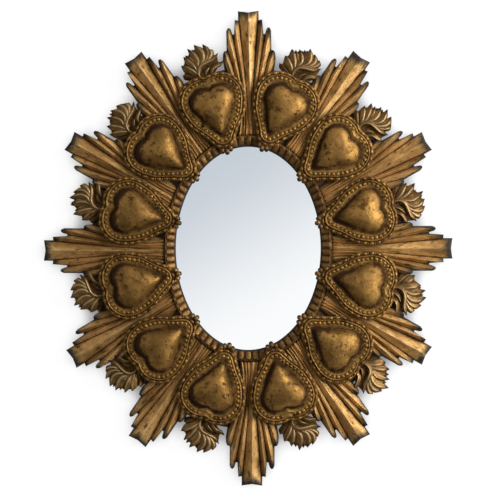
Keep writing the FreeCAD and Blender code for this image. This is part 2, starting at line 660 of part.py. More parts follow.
strap = strap_piece()
d_ring = d_ring_piece()
strap_screw = round_head_screw(STRAP_SCREW_RADIUS, STRAP_SCREW_HEAD_RADIUS, STRAP_SCREW_HEAD_HEIGHT,
                               STRAP_GRIP, STRAP_SCREW_BITE)
strap_screws = []
for side, spot in zip(("left", "right"), hanger_spots):
    pieces["hanger_strap_" + side] = placed(strap, spot, 90.0)
    pieces["hanger_ring_" + side] = placed(d_ring, spot, 90.0)
    for drop in STRAP_SCREWS:
        strap_screws.append(placed(strap_screw, spot + at(0, -drop, RING_BACK - STRAP_GRIP), 90.0))
pieces["hanger_screws"] = Part.makeCompound(strap_screws)

bumper_spot = polar_on(RING_HALF_WIDTH - BUMPER_INSET, RING_HALF_HEIGHT - BUMPER_INSET, BUMPER_ANGLE)
pieces["wall_bumpers"] = Part.makeCompound([Part.makeCylinder(BUMPER_RADIUS, BUMPER_THICKNESS, spot)
                                            for spot, facing in in_four_quarters([(bumper_spot, OUT)])])

os.makedirs("parts", exist_ok=True)
for node, shape in pieces.items():
    shape.rotate(at(0, 0), at(1, 0, 0), 90)
    shape.exportStep(f"parts/{node}.step")
print(len(pieces), "nodes,", sum(len(shape.Solids) for shape in pieces.values()), "solids")
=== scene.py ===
# %% [markdown]
# # A gilt sunburst mirror, dressed in Blender
# The real object is an oval glass in a carved and gilded frame: a rim of small blocks, twelve hearts with
# beaded borders, a plume of flames on each heart, and bundles of rays between them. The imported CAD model
# has every piece in its place with its main shape. The front could be sculpted by hand, but then no size
# could be changed later. So this lesson computes finer carvings over the CAD pieces and gives each
# surface its finish.

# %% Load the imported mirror
import math

import bpy
import numpy as np
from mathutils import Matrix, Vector


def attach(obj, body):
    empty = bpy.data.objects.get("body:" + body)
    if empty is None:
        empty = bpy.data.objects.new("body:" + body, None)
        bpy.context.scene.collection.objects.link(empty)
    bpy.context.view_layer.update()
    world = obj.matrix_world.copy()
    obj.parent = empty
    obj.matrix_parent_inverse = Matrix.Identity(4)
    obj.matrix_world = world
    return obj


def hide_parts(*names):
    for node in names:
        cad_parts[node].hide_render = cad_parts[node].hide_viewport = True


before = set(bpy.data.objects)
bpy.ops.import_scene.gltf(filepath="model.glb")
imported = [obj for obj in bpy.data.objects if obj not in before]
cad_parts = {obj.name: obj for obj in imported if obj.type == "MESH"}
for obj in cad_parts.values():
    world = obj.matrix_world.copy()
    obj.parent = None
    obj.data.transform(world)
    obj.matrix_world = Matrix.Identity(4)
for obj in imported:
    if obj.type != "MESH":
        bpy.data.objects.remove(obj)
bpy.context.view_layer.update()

# %% [markdown]
# ## The drawing
# A carver works from a drawing at full size. Here it is a flat sheet in millimetres: x to the right, y up
# and z out of the wall. The places could be read from the boxes of the CAD nodes, but a box doesn't tell
# which way a heart faces. So the drawing repeats the values of the part's source, and each finer carving
# lands on the solid that it replaces.

# %% The drawing's sizes
OVERALL = (328.0, 381.0)
SIGHT = (117.0, 164.0)
HEART_OFFSET = 64.5
# Polar angle and facing of the pieces in the first quarter, in degrees
HEART_ANGLES = ((17.5, 12.8), (48.5, 38.0), (76.5, 70.5))
RAY_ANGLES = ((0.0, 0.0), (31.0, 29.5), (59.3, 55.0), (90.0, 90.0))
# How far each of these ray bundles stays inside the outer oval
RAY_SETBACKS = (0.0, 5.0, 7.0, 0.0)
print("half sizes over all:", OVERALL, "and of the glass:", SIGHT)

# %% Places round the oval


def heading(angle):
    """The unit step that goes at an angle."""
    turn = math.radians(angle)
    return np.array([math.cos(turn), math.sin(turn)])


def on_oval(half_width, half_height, polar):
    """The point of an oval at a polar angle."""
    way = heading(polar)
    return way / math.hypot(way[0] / half_width, way[1] / half_height)


def round_the_oval(quarter):
    """Spots and facings of the first quarter, mirrored to all four and sorted counter-clockwise."""
    places = {}
    for spot, facing in quarter:
        way = heading(facing)
        for across, up in ((1, 1), (-1, 1), (-1, -1), (1, -1)):
            mirrored = spot * (across, up)
            polar = round(math.degrees(math.atan2(mirrored[1], mirrored[0])), 3) % 360
            places[polar] = (mirrored, math.degrees(math.atan2(up * way[1], across * way[0])))
    return [places[polar] for polar in sorted(places)]


heart_places = round_the_oval([(on_oval(SIGHT[0] + HEART_OFFSET, SIGHT[1] + HEART_OFFSET, polar), facing)
                               for polar, facing in HEART_ANGLES])
ray_places = round_the_oval([(on_oval(*OVERALL, polar) - heading(facing) * setback, facing)
                             for (polar, facing), setback in zip(RAY_ANGLES, RAY_SETBACKS)])
print("hearts:", len(heart_places), "ray bundles:", len(ray_places))

# %% [markdown]
# ## The carver's bench
# A carved piece is one block, but its surface has many parts, such as a dome, a border and beads. Blender
# could cut these from each other with Boolean modifiers, which is slow and leaves untidy edges. Here a
# carving collects points and faces part by part, so that every shell is closed and clean. Each point also
# carries three finish marks: hollow, where dark wax stays, worn, where the leaf is rubbed bright, and
# burnt, where soot has blackened a tip. In some places hollow and burnt also carry painted shade: on the
# hearts' side away from the light, on the flames' bed and along the rim's edges. They become mesh
# attributes, so the shading follows the carving and not a camera. A fourth attribute, the grain, holds the
# piece's own coordinates for the leaf's fine texture.

# %% Collecting a carving
MARKS = ("hollow", "worn", "burnt")


class Carving:
    """The surfaces of one carved piece."""

    def __init__(self):
        self.points, self.faces, self.marks, self.grain = [], [], [], []
        self.count = 0

    def add(self, points, faces, hollow=0.0, worn=0.0, burnt=0.0, grain=None):
        points = np.asarray(points, float)
        marks = np.zeros((len(points), len(MARKS)))
        marks[:, 0], marks[:, 1], marks[:, 2] = hollow, worn, burnt
        self.points.append(points)
        self.marks.append(marks)
        self.grain.append(points if grain is None else np.asarray(grain, float))
        self.faces += [[corner + self.count for corner in face] for face in faces]
        self.count += len(points)

    def gathered(self):
        return np.vstack(self.points), self.faces, np.vstack(self.marks), np.vstack(self.grain)


def strip_faces(rows, columns, closed=True):
    """Quads of a grid of points stored row by row, closed round each row or open."""
    faces = []
    for row in range(rows - 1):
        for column in range(columns if closed else columns - 1):
            beside = (column + 1) % columns
            faces.append((row * columns + column, row * columns + beside,
                          (row + 1) * columns + beside, (row + 1) * columns + column))
    return faces


print("marks on each point:", ", ".join(MARKS))

# %% Laying points in place
UPRIGHT = 90.0
MM_PER_METRE = 1000.0


def ease(low, high, value):
    """0 at low, 1 at high and a smooth step between."""
    share = np.clip((np.asarray(value, float) - low) / (high - low), 0.0, 1.0)
    return share * share * (3.0 - 2.0 * share)


def set_in_place(points, spot, facing, flip=False):
    """Points drawn upright, with +y outwards, turned to the facing and moved to the spot."""
    turn = math.radians(facing - UPRIGHT)
    x = -points[:, 0] if flip else points[:, 0]
    return np.column_stack([x * math.cos(turn) - points[:, 1] * math.sin(turn) + spot[0],
                            x * math.sin(turn) + points[:, 1] * math.cos(turn) + spot[1], points[:, 2]])


def stand_up(points):
    """From the sheet in millimetres to the room in metres."""
    return np.column_stack([points[:, 0], -points[:, 2], points[:, 1]]) / MM_PER_METRE


print("the sheet's (100, 50, 20) stands at", stand_up(np.array([[100.0, 50.0, 20.0]]))[0].tolist())

# %% Turning a carving into a Blender piece
SHARP_EDGE = 40.0


def make_piece(name, points, faces, marks, grain, material, nodes, sharp=SHARP_EDGE, flip=False):
    """A Blender mesh of a carving, riding on the mirror and standing for its CAD nodes."""
    mesh = bpy.data.meshes.new(name)
    if flip:
        faces = [face[::-1] for face in faces]
    mesh.from_pydata(stand_up(points).tolist(), [], faces)
    for column, label in enumerate(MARKS):
        layer = mesh.attributes.new(label, "FLOAT", "POINT")
        layer.data.foreach_set("value", np.clip(marks[:, column], 0.0, 1.0).astype(np.float32))
    layer = mesh.attributes.new("grain", "FLOAT_VECTOR", "POINT")
    layer.data.foreach_set("vector", grain.astype(np.float32).ravel())
    mesh.shade_smooth()
    mesh.set_sharp_from_angle(angle=math.radians(sharp))
    mesh.materials.append(material)
    mesh.validate()
    piece = bpy.data.objects.new(name, mesh)
    bpy.context.scene.collection.objects.link(piece)
    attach(piece, "mirror_body")
    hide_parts(*nodes)
    return piece


print("edges over", SHARP_EDGE, "degrees stay sharp")

# %% [markdown]
# ## Shader helpers
# A finish is a small network of nodes. It could be drawn by hand in the shader editor, but a script that
# wires it can be read, changed and run again. Each helper adds one kind of node, sets its plain values
# and links the rest, so that a material below reads as a list of what the finish is made of.

# %% Values and colours in a node tree
# The colour sockets of a Mix node, which has others for plain values
MIX_FACTOR, MIX_FIRST, MIX_SECOND, MIX_RESULT = 0, 6, 7, 2


def wire(tree, source, target):
    """A plain value is set on the socket; another node's output is linked to it."""
    if isinstance(source, bpy.types.NodeSocket):
        tree.links.new(source, target)
    else:
        target.default_value = source


def sums(tree, kind, first, second):
    """One sum of two values, such as ADD or MULTIPLY."""
    made = tree.nodes.new("ShaderNodeMath")
    made.operation = kind
    wire(tree, first, made.inputs[0])
    wire(tree, second, made.inputs[1])
    return made.outputs[0]


def between(tree, value, low, high, to_low=0.0, to_high=1.0, smooth=True):
    """A value from low to high, brought to another range and held at its ends."""
    made = tree.nodes.new("ShaderNodeMapRange")
    made.interpolation_type = "SMOOTHSTEP" if smooth else "LINEAR"
    wire(tree, value, made.inputs[0])
    for socket, number in zip(made.inputs[1:5], (low, high, to_low, to_high)):
        socket.default_value = number
    return made.outputs[0]


def blend(tree, factor, first, second):
    """The first colour where the factor is 0, the second where it is 1."""
    made = tree.nodes.new("ShaderNodeMix")
    made.data_type = "RGBA"
    wire(tree, factor, made.inputs[MIX_FACTOR])
    wire(tree, first, made.inputs[MIX_FIRST])
    wire(tree, second, made.inputs[MIX_SECOND])
    return made.outputs[MIX_RESULT]


def rgb(red, green, blue):
    """A colour as read from a screen, 0 to 255, in the linear values that shaders use."""
    shares = [v / 255.0 for v in (red, green, blue)]
    linear = [v / 12.92 if v < 0.04045 else ((v + 0.055) / 1.055) ** 2.4 for v in shares]
    return (*linear, 1.0)


print("a screen's mid grey as a shader's value:", round(rgb(128, 128, 128)[0], 3))

# %% Patterns, marks and bumps


def noise(tree, vector, scale, detail=4.0, rough=0.55, stretch=None):
    """A noise over the surface, longer in the directions that stretch makes small."""
    if stretch is not None:
        mapping = tree.nodes.new("ShaderNodeMapping")
        mapping.inputs["Scale"].default_value = stretch
        tree.links.new(vector, mapping.inputs["Vector"])
        vector = mapping.outputs["Vector"]
    made = tree.nodes.new("ShaderNodeTexNoise")
    tree.links.new(vector, made.inputs["Vector"])
    made.inputs["Scale"].default_value = scale
    made.inputs["Detail"].default_value = detail
    made.inputs["Roughness"].default_value = rough
    return made.outputs[0]


def mark(tree, name, output="Fac"):
    """An attribute of the mesh, read at each point."""
    made = tree.nodes.new("ShaderNodeAttribute")
    made.attribute_name = name
    return made.outputs[output]


def own_place(tree):
    """The piece's own coordinates, in metres."""
    return tree.nodes.new("ShaderNodeTexCoord").outputs["Object"]


def bump(tree, height, strength, distance):
    """A fine relief for the shader's normal."""
    made = tree.nodes.new("ShaderNodeBump")
    made.inputs["Strength"].default_value = strength
    made.inputs["Distance"].default_value = distance
    tree.links.new(height, made.inputs["Height"])
    return made.outputs["Normal"]


def new_material(name):
    """A material with its node tree and its shader."""
    material = bpy.data.materials.new(name)
    material.use_nodes = True
    tree = material.node_tree
    print("finish:", name)
    return material, tree, tree.nodes["Principled BSDF"]


print("helpers ready, materials so far:", len(bpy.data.materials))

# %% [markdown]
# ## Aged gilding
# The frame is gilt wood: gold leaf, toned with dark wax that stays in the hollows, rubbed pale on the
# crests, chipped here and there, and blackened at the tips. A painted image could carry all this, but it
# would need unwrapped meshes and would blur close up. So one node group mixes the layers from the
# carving's marks and from noise. Four materials use it, each with its own golds, which keeps them alike.

# %% The gilding group's sockets
VALUE, VECTOR, COLOUR = "NodeSocketFloat", "NodeSocketVector", "NodeSocketColor"
gilding = bpy.data.node_groups.new("aged_gilding", "ShaderNodeTree")
for label, kind in (("Hollow", VALUE), ("Worn", VALUE), ("Burnt", VALUE), ("Grain", VECTOR),
                    ("Gold", COLOUR), ("Toned gold", COLOUR), ("Pale gold", COLOUR), ("Wax and shade", COLOUR),
                    ("Soot and shade", COLOUR), ("Mottle", VALUE), ("Matt", VALUE)):
    gilding.interface.new_socket(label, in_out="INPUT", socket_type=kind)
for label, kind in (("Colour", COLOUR), ("Roughness", VALUE), ("Metal", VALUE), ("Height", VALUE)):
    gilding.interface.new_socket(label, in_out="OUTPUT", socket_type=kind)
given = gilding.nodes.new("NodeGroupInput").outputs
wanted = gilding.nodes.new("NodeGroupOutput").inputs
print("gilding sockets:", len(gilding.interface.items_tree))

# %% Where wax, soot and painted shade darken the leaf, and where it is rubbed
# Each pattern of the leaf: noise scale, detail, roughness
LEAF_PATTERNS = {"fine": (0.75, 7.0, 0.7), "patch": (0.17, 6.0, 0.68), "broad": (0.05, 4.0, 0.6),
                 "scar": (0.06, 6.0, 0.62), "chip": (0.15, 5.0, 0.72)}
leaf = {name: noise(gilding, given["Grain"], *values) for name, values in LEAF_PATTERNS.items()}


def broken_up(label, pattern, share, low, high):
    """A mark of the carving, with its edge broken up by a pattern of the leaf."""
    uneven = sums(gilding, "ADD", given[label], sums(gilding, "MULTIPLY", leaf[pattern], share))
    return between(gilding, uneven, low, high)


# The wax layer also paints shade where a mark asks for it
wax_and_shade = broken_up("Hollow", "patch", 1.3, 0.88, 1.5)
rubbed = broken_up("Worn", "fine", 0.6, 0.65, 1.4)
# The soot layer also paints the shade at the rim's sight edge and inner wall
soot_and_shade = broken_up("Burnt", "patch", 0.8, 0.5, 1.2)
print("patterns of the leaf:", ", ".join(leaf))

# %% The leaf's colour, layer by layer
# Each kind of dark spot: pattern, where it starts and is full, and how strong it gets
DARK_SPOTS = (("patch", 0.48, 0.68, 0.5), ("scar", 0.6, 0.68, 0.75), ("chip", 0.59, 0.62, 0.85))


def spots(pattern, low, high, most):
    """Spots of a pattern, as strong as the material's mottle asks."""
    return sums(gilding, "MULTIPLY", between(gilding, leaf[pattern], low, high, 0.0, most), given["Mottle"])


toned = blend(gilding, between(gilding, leaf["broad"], 0.38, 0.62), given["Gold"], given["Toned gold"])
flecked = blend(gilding, spots("fine", 0.46, 0.6, 0.6), toned, given["Toned gold"])
layered = blend(gilding, rubbed, flecked, given["Pale gold"])
for pattern, low, high, most in DARK_SPOTS:
    layered = blend(gilding, spots(pattern, low, high, most), layered, given["Wax and shade"])
layered = blend(gilding, wax_and_shade, layered, given["Wax and shade"])
layered = blend(gilding, soot_and_shade, layered, given["Soot and shade"])
wire(gilding, layered, wanted["Colour"])
print("kinds of dark spot:", len(DARK_SPOTS))

# %% The leaf's gloss and relief
LEAF_METAL, WAX_DULLNESS, PATCH_RELIEF = 0.78, 0.2, 1.8
dull = sums(gilding, "MAXIMUM", wax_and_shade, soot_and_shade)
tarnish = sums(gilding, "ADD", between(gilding, leaf["patch"], 0.38, 0.62, 0.44, 0.6), given["Matt"])
rough = sums(gilding, "ADD", tarnish, sums(gilding, "MULTIPLY", dull, WAX_DULLNESS))
wire(gilding, rough, wanted["Roughness"])
wire(gilding, between(gilding, dull, 0.0, 1.0, LEAF_METAL, 0.0), wanted["Metal"])
relief = sums(gilding, "ADD", leaf["fine"], sums(gilding, "MULTIPLY", leaf["patch"], PATCH_RELIEF))
wire(gilding, relief, wanted["Height"])
print("gilding group nodes:", len(gilding.nodes))

# %% [markdown]
# ### Four golds
# The carvings aren't gilded alike: the hearts are a deep gold with much wax, the flames a greyer one, the
# rays pale and matt, and the rim brown. One material could read its gold from an attribute of the mesh,
# but then a gold could be changed only by carving again. So each has a material of its own, which gives
# the shared group its three golds and says how mottled, matt and rough it is.

# %% The four gilt finishes
# The dark brown of the wax, which also paints shade
WAX_AND_SHADE_COLOUR = rgb(56, 33, 10)
# The dark grey brown of soot, which also paints shade at the rim's sight edge
SOOT_AND_SHADE_COLOUR = rgb(54, 48, 41)
LEAF_DEPTH, LEAF_SPECULAR = 0.0008, 0.12


def gilt(name, gold, toned_gold, pale_gold, mottle, matt, relief):
    """A material of the gilding with its own golds."""
    material, tree, shader = new_material(name)
    coat = tree.nodes.new("ShaderNodeGroup")
    coat.node_tree = gilding
    for label in MARKS:
        tree.links.new(mark(tree, label), coat.inputs[label.capitalize()])
    tree.links.new(mark(tree, "grain", "Vector"), coat.inputs["Grain"])
    for label, value in (("Gold", gold), ("Toned gold", toned_gold), ("Pale gold", pale_gold),
                         ("Wax and shade", WAX_AND_SHADE_COLOUR), ("Soot and shade", SOOT_AND_SHADE_COLOUR), ("Mottle", mottle), ("Matt", matt)):
        coat.inputs[label].default_value = value
    for output, socket in (("Colour", "Base Color"), ("Roughness", "Roughness"), ("Metal", "Metallic")):
        tree.links.new(coat.outputs[output], shader.inputs[socket])
    tree.links.new(bump(tree, coat.outputs["Height"], relief, LEAF_DEPTH), shader.inputs["Normal"])
    shader.inputs["Specular IOR Level"].default_value = LEAF_SPECULAR
    return material


heart_gilt = gilt("heart_gilt", rgb(161, 122, 64), rgb(124, 92, 48), rgb(193, 167, 126),
                  mottle=1.0, matt=0.0, relief=0.55)
flame_gilt = gilt("flame_gilt", rgb(144, 110, 64), rgb(110, 82, 46), rgb(176, 151, 112),
                  mottle=0.9, matt=0.0, relief=0.4)
ray_gilt = gilt("ray_gilt", rgb(216, 174, 111), rgb(161, 122, 70), rgb(229, 207, 171),
                mottle=0.9, matt=0.06, relief=0.8)
rim_gilt = gilt("rim_gilt", rgb(140, 104, 58), rgb(98, 71, 40), rgb(182, 146, 96),
                mottle=1.0, matt=0.0, relief=0.4)

# %% [markdown]
# ## The hearts
# Each heart is a puffed dome in a moat, inside a border: a row of pearls in a channel, a plain rail, a
# groove and an outer row of olive beads with small reels between them. A displaced sheet could show all
# this, but it would need a very fine grid everywhere. Here rings of points follow the heart's outline
# from the middle of the dome to the back of the border, which keeps the shading smooth with few points.
# The outline is drawn as a carver sets it out: two round lobes, straight sides and a small round tip.

# %% The heart's outline
LOBE_RADIUS, LOBE_SIDE, LOBE_RISE = 23.0, 13.5, 20.0
TIP_RADIUS, TIP_DROP = 4.0, 39.0
LOBE_STEPS, SIDE_STEPS, TIP_STEPS = 46, 18, 10


def heart_line(offset):
    """The outline, moved out by an offset: clockwise from the cleft at the top."""
    lobe, tip = LOBE_RADIUS + offset, TIP_RADIUS + offset
    run = math.hypot(LOBE_SIDE, LOBE_RISE + TIP_DROP)
    lean = math.atan2(LOBE_SIDE, LOBE_RISE + TIP_DROP) + math.asin((lobe - tip) / run)
    arc = np.linspace(math.acos(-LOBE_SIDE / lobe), -lean, LOBE_STEPS + 1)
    crown = np.column_stack([LOBE_SIDE + lobe * np.cos(arc), LOBE_RISE + lobe * np.sin(arc)])
    turn = np.linspace(-lean, -math.pi / 2, TIP_STEPS + 1)
    point = np.column_stack([tip * np.cos(turn), -TIP_DROP + tip * np.sin(turn)])
    shares = np.linspace(0.0, 1.0, SIDE_STEPS + 1)[1:, None]
    side = crown[-1] + (point[0] - crown[-1]) * shares
    right = np.vstack([crown, side, point[1:]])
    return np.vstack([right, right[-2:0:-1] * (-1, 1)])


print("heart outline:", len(heart_line(0.0)), "points,", np.ptp(heart_line(0.0), axis=0).round(1), "mm")

# %% [markdown]
# ### The border's line and the dome's edge
# On the real hearts the border is fuller at the flanks than the dome, and the dome is a little smaller
# than the hollow it sits in, which leaves a moat. Offsetting one outline can't give both. So each has its
# own line, bent from the same outline point by point, and the rings between them still match.

# %% The border's line and the dome's edge
BORDER_WIDER, BORDER_TALLER, BORDER_LONGER = 0.06, 0.04, 0.2
BORDER_START = 2.5
FLANK_SWELL, FLANK_LEVEL, FLANK_REACH, FLANK_CORE = 5.5, -14.0, 17.0, 8.0
TIP_FROM, TIP_TO = 20.0, 50.0
DOME_MIDDLE = 4.0
DOME_NARROWER, DOME_FLATTER, DOME_SHORTER = 0.97, 0.14, 0.09


def border_line(offset):
    """The outline moved out for the border, which is wider, fuller at the flanks and longer at the tip."""
    line = heart_line(offset)
    across, up = line[:, 0], line[:, 1]
    flank = np.exp(-((up - FLANK_LEVEL) / FLANK_REACH) ** 2) * np.clip(across / FLANK_CORE, -1.0, 1.0)
    wider = BORDER_WIDER * across + FLANK_SWELL * flank
    taller = BORDER_TALLER * np.clip(up, 0.0, None)
    longer = BORDER_LONGER * offset * ease(TIP_FROM, TIP_TO, -up)
    share = ease(0.0, BORDER_START, offset)
    return line + np.column_stack([wider * share, taller * share - longer])


def dome_line():
    """The dome's own edge, inside a moat: narrower, shorter at the tip and flatter across the lobes."""
    line = heart_line(0.0) * (DOME_NARROWER, 1.0)
    up = line[:, 1]
    squeezed = (DOME_FLATTER * np.clip(up - LOBE_RISE, 0.0, None)
                - DOME_SHORTER * np.clip(DOME_MIDDLE - up, 0.0, None))
    return line - np.column_stack([np.zeros(len(line)), squeezed])


def evened(line, angle):
    """The outline as seen from the dome's middle, with its corners evened out over an angle."""
    away = line - (0.0, DOME_MIDDLE)
    turn = np.unwrap(np.arctan2(away[:, 1], away[:, 0]))
    gap = (turn[:, None] - turn + math.pi) % (2 * math.pi) - math.pi
    weight = np.exp(-(gap / angle) ** 2) * np.abs(np.gradient(turn))
    reach = weight @ np.hypot(away[:, 0], away[:, 1]) / weight.sum(1)
    return np.column_stack([reach * np.cos(turn), reach * np.sin(turn) + DOME_MIDDLE])


print("dome edge:", np.ptp(dome_line(), axis=0).round(1), "mm, border:",
      np.ptp(border_line(15.0), axis=0).round(1), "mm")

# %% [markdown]
# ### The dome
# The dome is steep at its edge and nearly flat on top, and the cleft fades out towards its middle. A
# subdivided cage could give that, but its edge would shrink away from the border. So each ring is the
# edge drawn smaller, with its corners evened out more the nearer it is to the middle. The marks leave wax
# at the foot, darken the tip and the top by the cleft, and paint shade on the side away from the light.

# %% The dome's rings
RING_FRONT = 24.0
BORDER_FRONT, BORDER_BACK = 40.0, 35.0
DOME_HEIGHT, DOME_SINK = 17.9, 1.0
DOME_FULLNESS, DOME_STEEPNESS = 2.3, 0.56
DOME_SHARES = (0.06, 0.14, 0.22, 0.30, 0.38, 0.46, 0.54, 0.61, 0.68, 0.74, 0.80, 0.85, 0.89, 0.925, 0.955,
               0.98, 1.0)
CORNER_ANGLE, MIDDLE_ANGLE = 0.02, 0.75
# Degrees: the side away from the light, which gets painted shade
SHADED_SIDE = 165.0
DOME_RUB = 0.25


def dome_rings(facing):
    """Rings from the middle to the edge, each with its hollow and worn marks."""
    edge = dome_line()
    around = np.arctan2(edge[:, 1] - DOME_MIDDLE, edge[:, 0]) + math.radians(facing - UPRIGHT)
    # Darker at the tip and across the top by the cleft
    ends = np.maximum(ease(8.0, 40.0, -edge[:, 1]), ease(12.0, 28.0, edge[:, 1]))
    # Painted shade on the side away from the light
    painted_shade = ease(-0.1, 0.9, np.cos(around - math.radians(SHADED_SIDE)))
    rings = []
    for share in DOME_SHARES:
        line = evened(edge, CORNER_ANGLE + MIDDLE_ANGLE * (1.0 - share))
        ring = (line - (0, DOME_MIDDLE)) * share + (0, DOME_MIDDLE)
        puff = (1.0 - share ** DOME_FULLNESS) ** DOME_STEEPNESS
        height = BORDER_FRONT - DOME_SINK + (DOME_HEIGHT + DOME_SINK) * puff
        hollow = (ease(0.84, 1.0, share) * 0.45 + ease(0.66, 0.97, share) * 0.35 * ends
                  + ease(0.5, 0.94, share) * 0.55 * painted_shade)
        worn = np.full(len(edge), DOME_RUB * (1.0 - share))
        rings.append((np.column_stack([ring, np.full(len(edge), height)]), hollow, worn))
    return rings


print("dome rings:", len(dome_rings(UPRIGHT)))

# %% [markdown]
# ### The border
# The border is a moulding that runs round the heart. A bevelled curve could sweep its profile, but it
# would pinch at the cleft and the tip. Here each line of the profile is its own ring of the border's
# line, so the moulding can widen at the flanks. A small leaf stands in the channel at the cleft, where no
# pearl fits.

# %% The border's rings
# Each ring: offset from the dome's edge, height, hollow, worn
BORDER_RINGS = ((0.4, 39.1, 0.7, 0.0), (0.9, 39.2, 0.6, 0.0), (1.6, 40.1, 0.2, 0.2), (2.2, 40.2, 0.3, 0.1),
                (2.7, 39.8, 0.3, 0.0), (6.3, 39.8, 0.3, 0.0), (6.8, 40.0, 0.4, 0.0), (7.2, 41.0, 0.25, 0.2),
                (7.7, 41.8, 0.05, 0.3), (8.4, 42.1, 0.0, 0.4), (9.1, 41.8, 0.05, 0.3), (9.6, 41.0, 0.25, 0.2),
                (10.0, 39.4, 0.8, 0.0), (10.5, 38.6, 0.9, 0.0), (13.2, 37.4, 0.75, 0.0),
                (14.5, 37.2, 0.5, 0.1), (15.0, 36.8, 0.5, 0.1), (15.0, 35.8, 0.7, 0.0),
                (14.4, BORDER_BACK, 0.8, 0.0), (-2.0, BORDER_BACK, 1.0, 0.0), (-2.0, RING_FRONT, 1.0, 0.0))
LEAF_PLACE, LEAF_REACH, LEAF_RISE = 44.0, 10.0, 1.4
LEAF_FROM, LEAF_TO = 0.0, 7.0


def border_rings():
    """Rings from the moat over the front to the back, each with its hollow and worn marks."""
    rings = []
    for offset, height, low, high in BORDER_RINGS:
        line = border_line(offset)
        leaf_share = np.zeros(len(line))
        if LEAF_FROM < offset < LEAF_TO:
            leaf_share = np.exp(-(np.hypot(line[:, 0], line[:, 1] - LEAF_PLACE) / LEAF_REACH) ** 2)
        rings.append((np.column_stack([line, height + LEAF_RISE * leaf_share]),
                      np.clip(low - 0.55 * leaf_share, 0, 1), high + 0.4 * leaf_share))
    return rings


print("border rings:", len(border_rings()))

# %% [markdown]
# ### The beads
# Pearls and olives are small domes left standing in their channel. A sphere for each would carry as many
# faces under the wood as over it. So one cap, a little more than half a ball with a closed base, is drawn
# once and set along the border in three sizes. Its sides keep wax and its top is worn.

# %% One bead
CAP_SIDES = 12
CAP_LEVELS = (-25.0, 5.0, 32.0, 58.0, 78.0)
cap_rings = [(math.cos(level), math.sin(level)) for level in np.radians(CAP_LEVELS)]
cap_turns = np.linspace(0, 2 * math.pi, CAP_SIDES, endpoint=False)
cap_points = np.array([(radius * math.cos(turn), radius * math.sin(turn), height)
                       for radius, height in cap_rings for turn in cap_turns] + [(0.0, 0.0, 1.0)])
last_ring = (len(cap_rings) - 1) * CAP_SIDES
cap_faces = strip_faces(len(cap_rings), CAP_SIDES)
cap_faces += [(last_ring + k, last_ring + (k + 1) % CAP_SIDES, len(cap_points) - 1) for k in range(CAP_SIDES)]
cap_faces.append(tuple(range(CAP_SIDES))[::-1])
cap_hollow = np.clip(0.6 - 1.4 * np.clip(cap_points[:, 2], 0, 1), 0, 0.6)
cap_worn = ease(0.35, 1.0, cap_points[:, 2])


def set_bead(carving, place, sizes, turn=0.0, burnt=0.0, worn=1.0):
    """A cap of a half length, a half width and a rise, turned and set in its place."""
    cap = cap_points * sizes
    c, s = math.cos(turn), math.sin(turn)
    turned = np.column_stack([cap[:, 0] * c - cap[:, 1] * s, cap[:, 0] * s + cap[:, 1] * c, cap[:, 2]])
    carving.add(turned + place, cap_faces, cap_hollow, cap_worn * worn, burnt)


print("one bead:", len(cap_points), "points,", len(cap_faces), "faces")

# %% Rows of beads along the border
AHEAD = 0.6
# Each row: offset of its line, beads, first place, height, half length, half width and rise,
# how much these three vary, worn, and the gap that it leaves each side of the cleft
BEAD_ROWS = ((4.5, 40, 0.5, 39.9, (3.4, 3.1, 2.2), (0.06, 0.06, 0.06), 0.2, 10.0),
             (12.3, 31, 0.5, 37.9, (4.4, 2.4, 2.3), (0.05, 0.0, 0.05), 0.3, 0.0),
             (12.3, 31, 0.0, 37.9, (0.9, 1.9, 1.6), None, 0.3, 0.0))


def spaced(line, count, first):
    """Places at even steps along a closed line, the line's direction there and the way back to its start."""
    closed = np.vstack([line, line[:1]])
    lengths = np.concatenate([[0.0], np.cumsum(np.hypot(*np.diff(closed, axis=0).T))])
    along = (np.arange(count) + first) * lengths[-1] / count

    def at(length):
        return np.column_stack([np.interp(length, lengths, closed[:, axis]) for axis in (0, 1)])

    way = at(np.minimum(along + AHEAD, lengths[-1])) - at(np.maximum(along - AHEAD, 0.0))
    return at(along), np.arctan2(way[:, 1], way[:, 0]), np.minimum(along, lengths[-1] - along)


def add_bead_rows(carving, lots):
    """The pearls, the olives and the reels between the olives."""
    for offset, count, first, height, sizes, variety, worn, cleft_gap in BEAD_ROWS:
        for (x, y), turn, from_cleft in zip(*spaced(border_line(offset), count, first)):
            if from_cleft < cleft_gap:
                continue
            varied = np.array(sizes)
            if variety is not None:
                varied = varied * (1.0 + np.array(variety) * lots.normal())
            set_bead(carving, (x, y, height), varied, turn, worn=worn)


print("beads in the rows:", [row[1] for row in BEAD_ROWS])

# %% [markdown]
# ### The finial and the twelve hearts
# Three beads hang from each heart's tip over the rim, on a small plate under the border. They could be
# left to the rim, but on the real object they turn with their heart. So they are part of the heart's
# carving. The hearts differ only in the size of their beads, the side that gets painted shade and their
# grain, so one function carves them all, each with lots of its own that are the same at every run.

# %% One heart
# Lots are random numbers from a seed, so that every run draws the same ones
HEART_LOTS = 100
# Each bead of the finial: across, up, radius
FINIAL_BEADS = ((0.0, -66.0, 4.0), (-6.8, -63.0, 3.5), (6.8, -63.0, 3.5))
FINIAL_LEVEL, PLATE_FRONT = 39.6, 39.0
PLATE = ((-6.0, -64.0), (6.0, -64.0), (6.0, -49.0), (-6.0, -49.0))


def add_finial(carving):
    """The three beads at the heart's tip, which hang over the rim, and their plate."""
    for x, y, radius in FINIAL_BEADS:
        place = (x, y, FINIAL_LEVEL)
        set_bead(carving, place, (radius, radius, radius), burnt=0.35, worn=0.2)
        under = cap_points * (radius, radius, -radius) + place
        carving.add(under, [face[::-1] for face in cap_faces], 0.8, 0.0, 0.5)
    corners = [(*corner, height) for height in (BORDER_BACK, PLATE_FRONT) for corner in PLATE]
    carving.add(corners, strip_faces(2, 4) + [(4, 5, 6, 7), (3, 2, 1, 0)], 0.9, 0.0, 0.3)


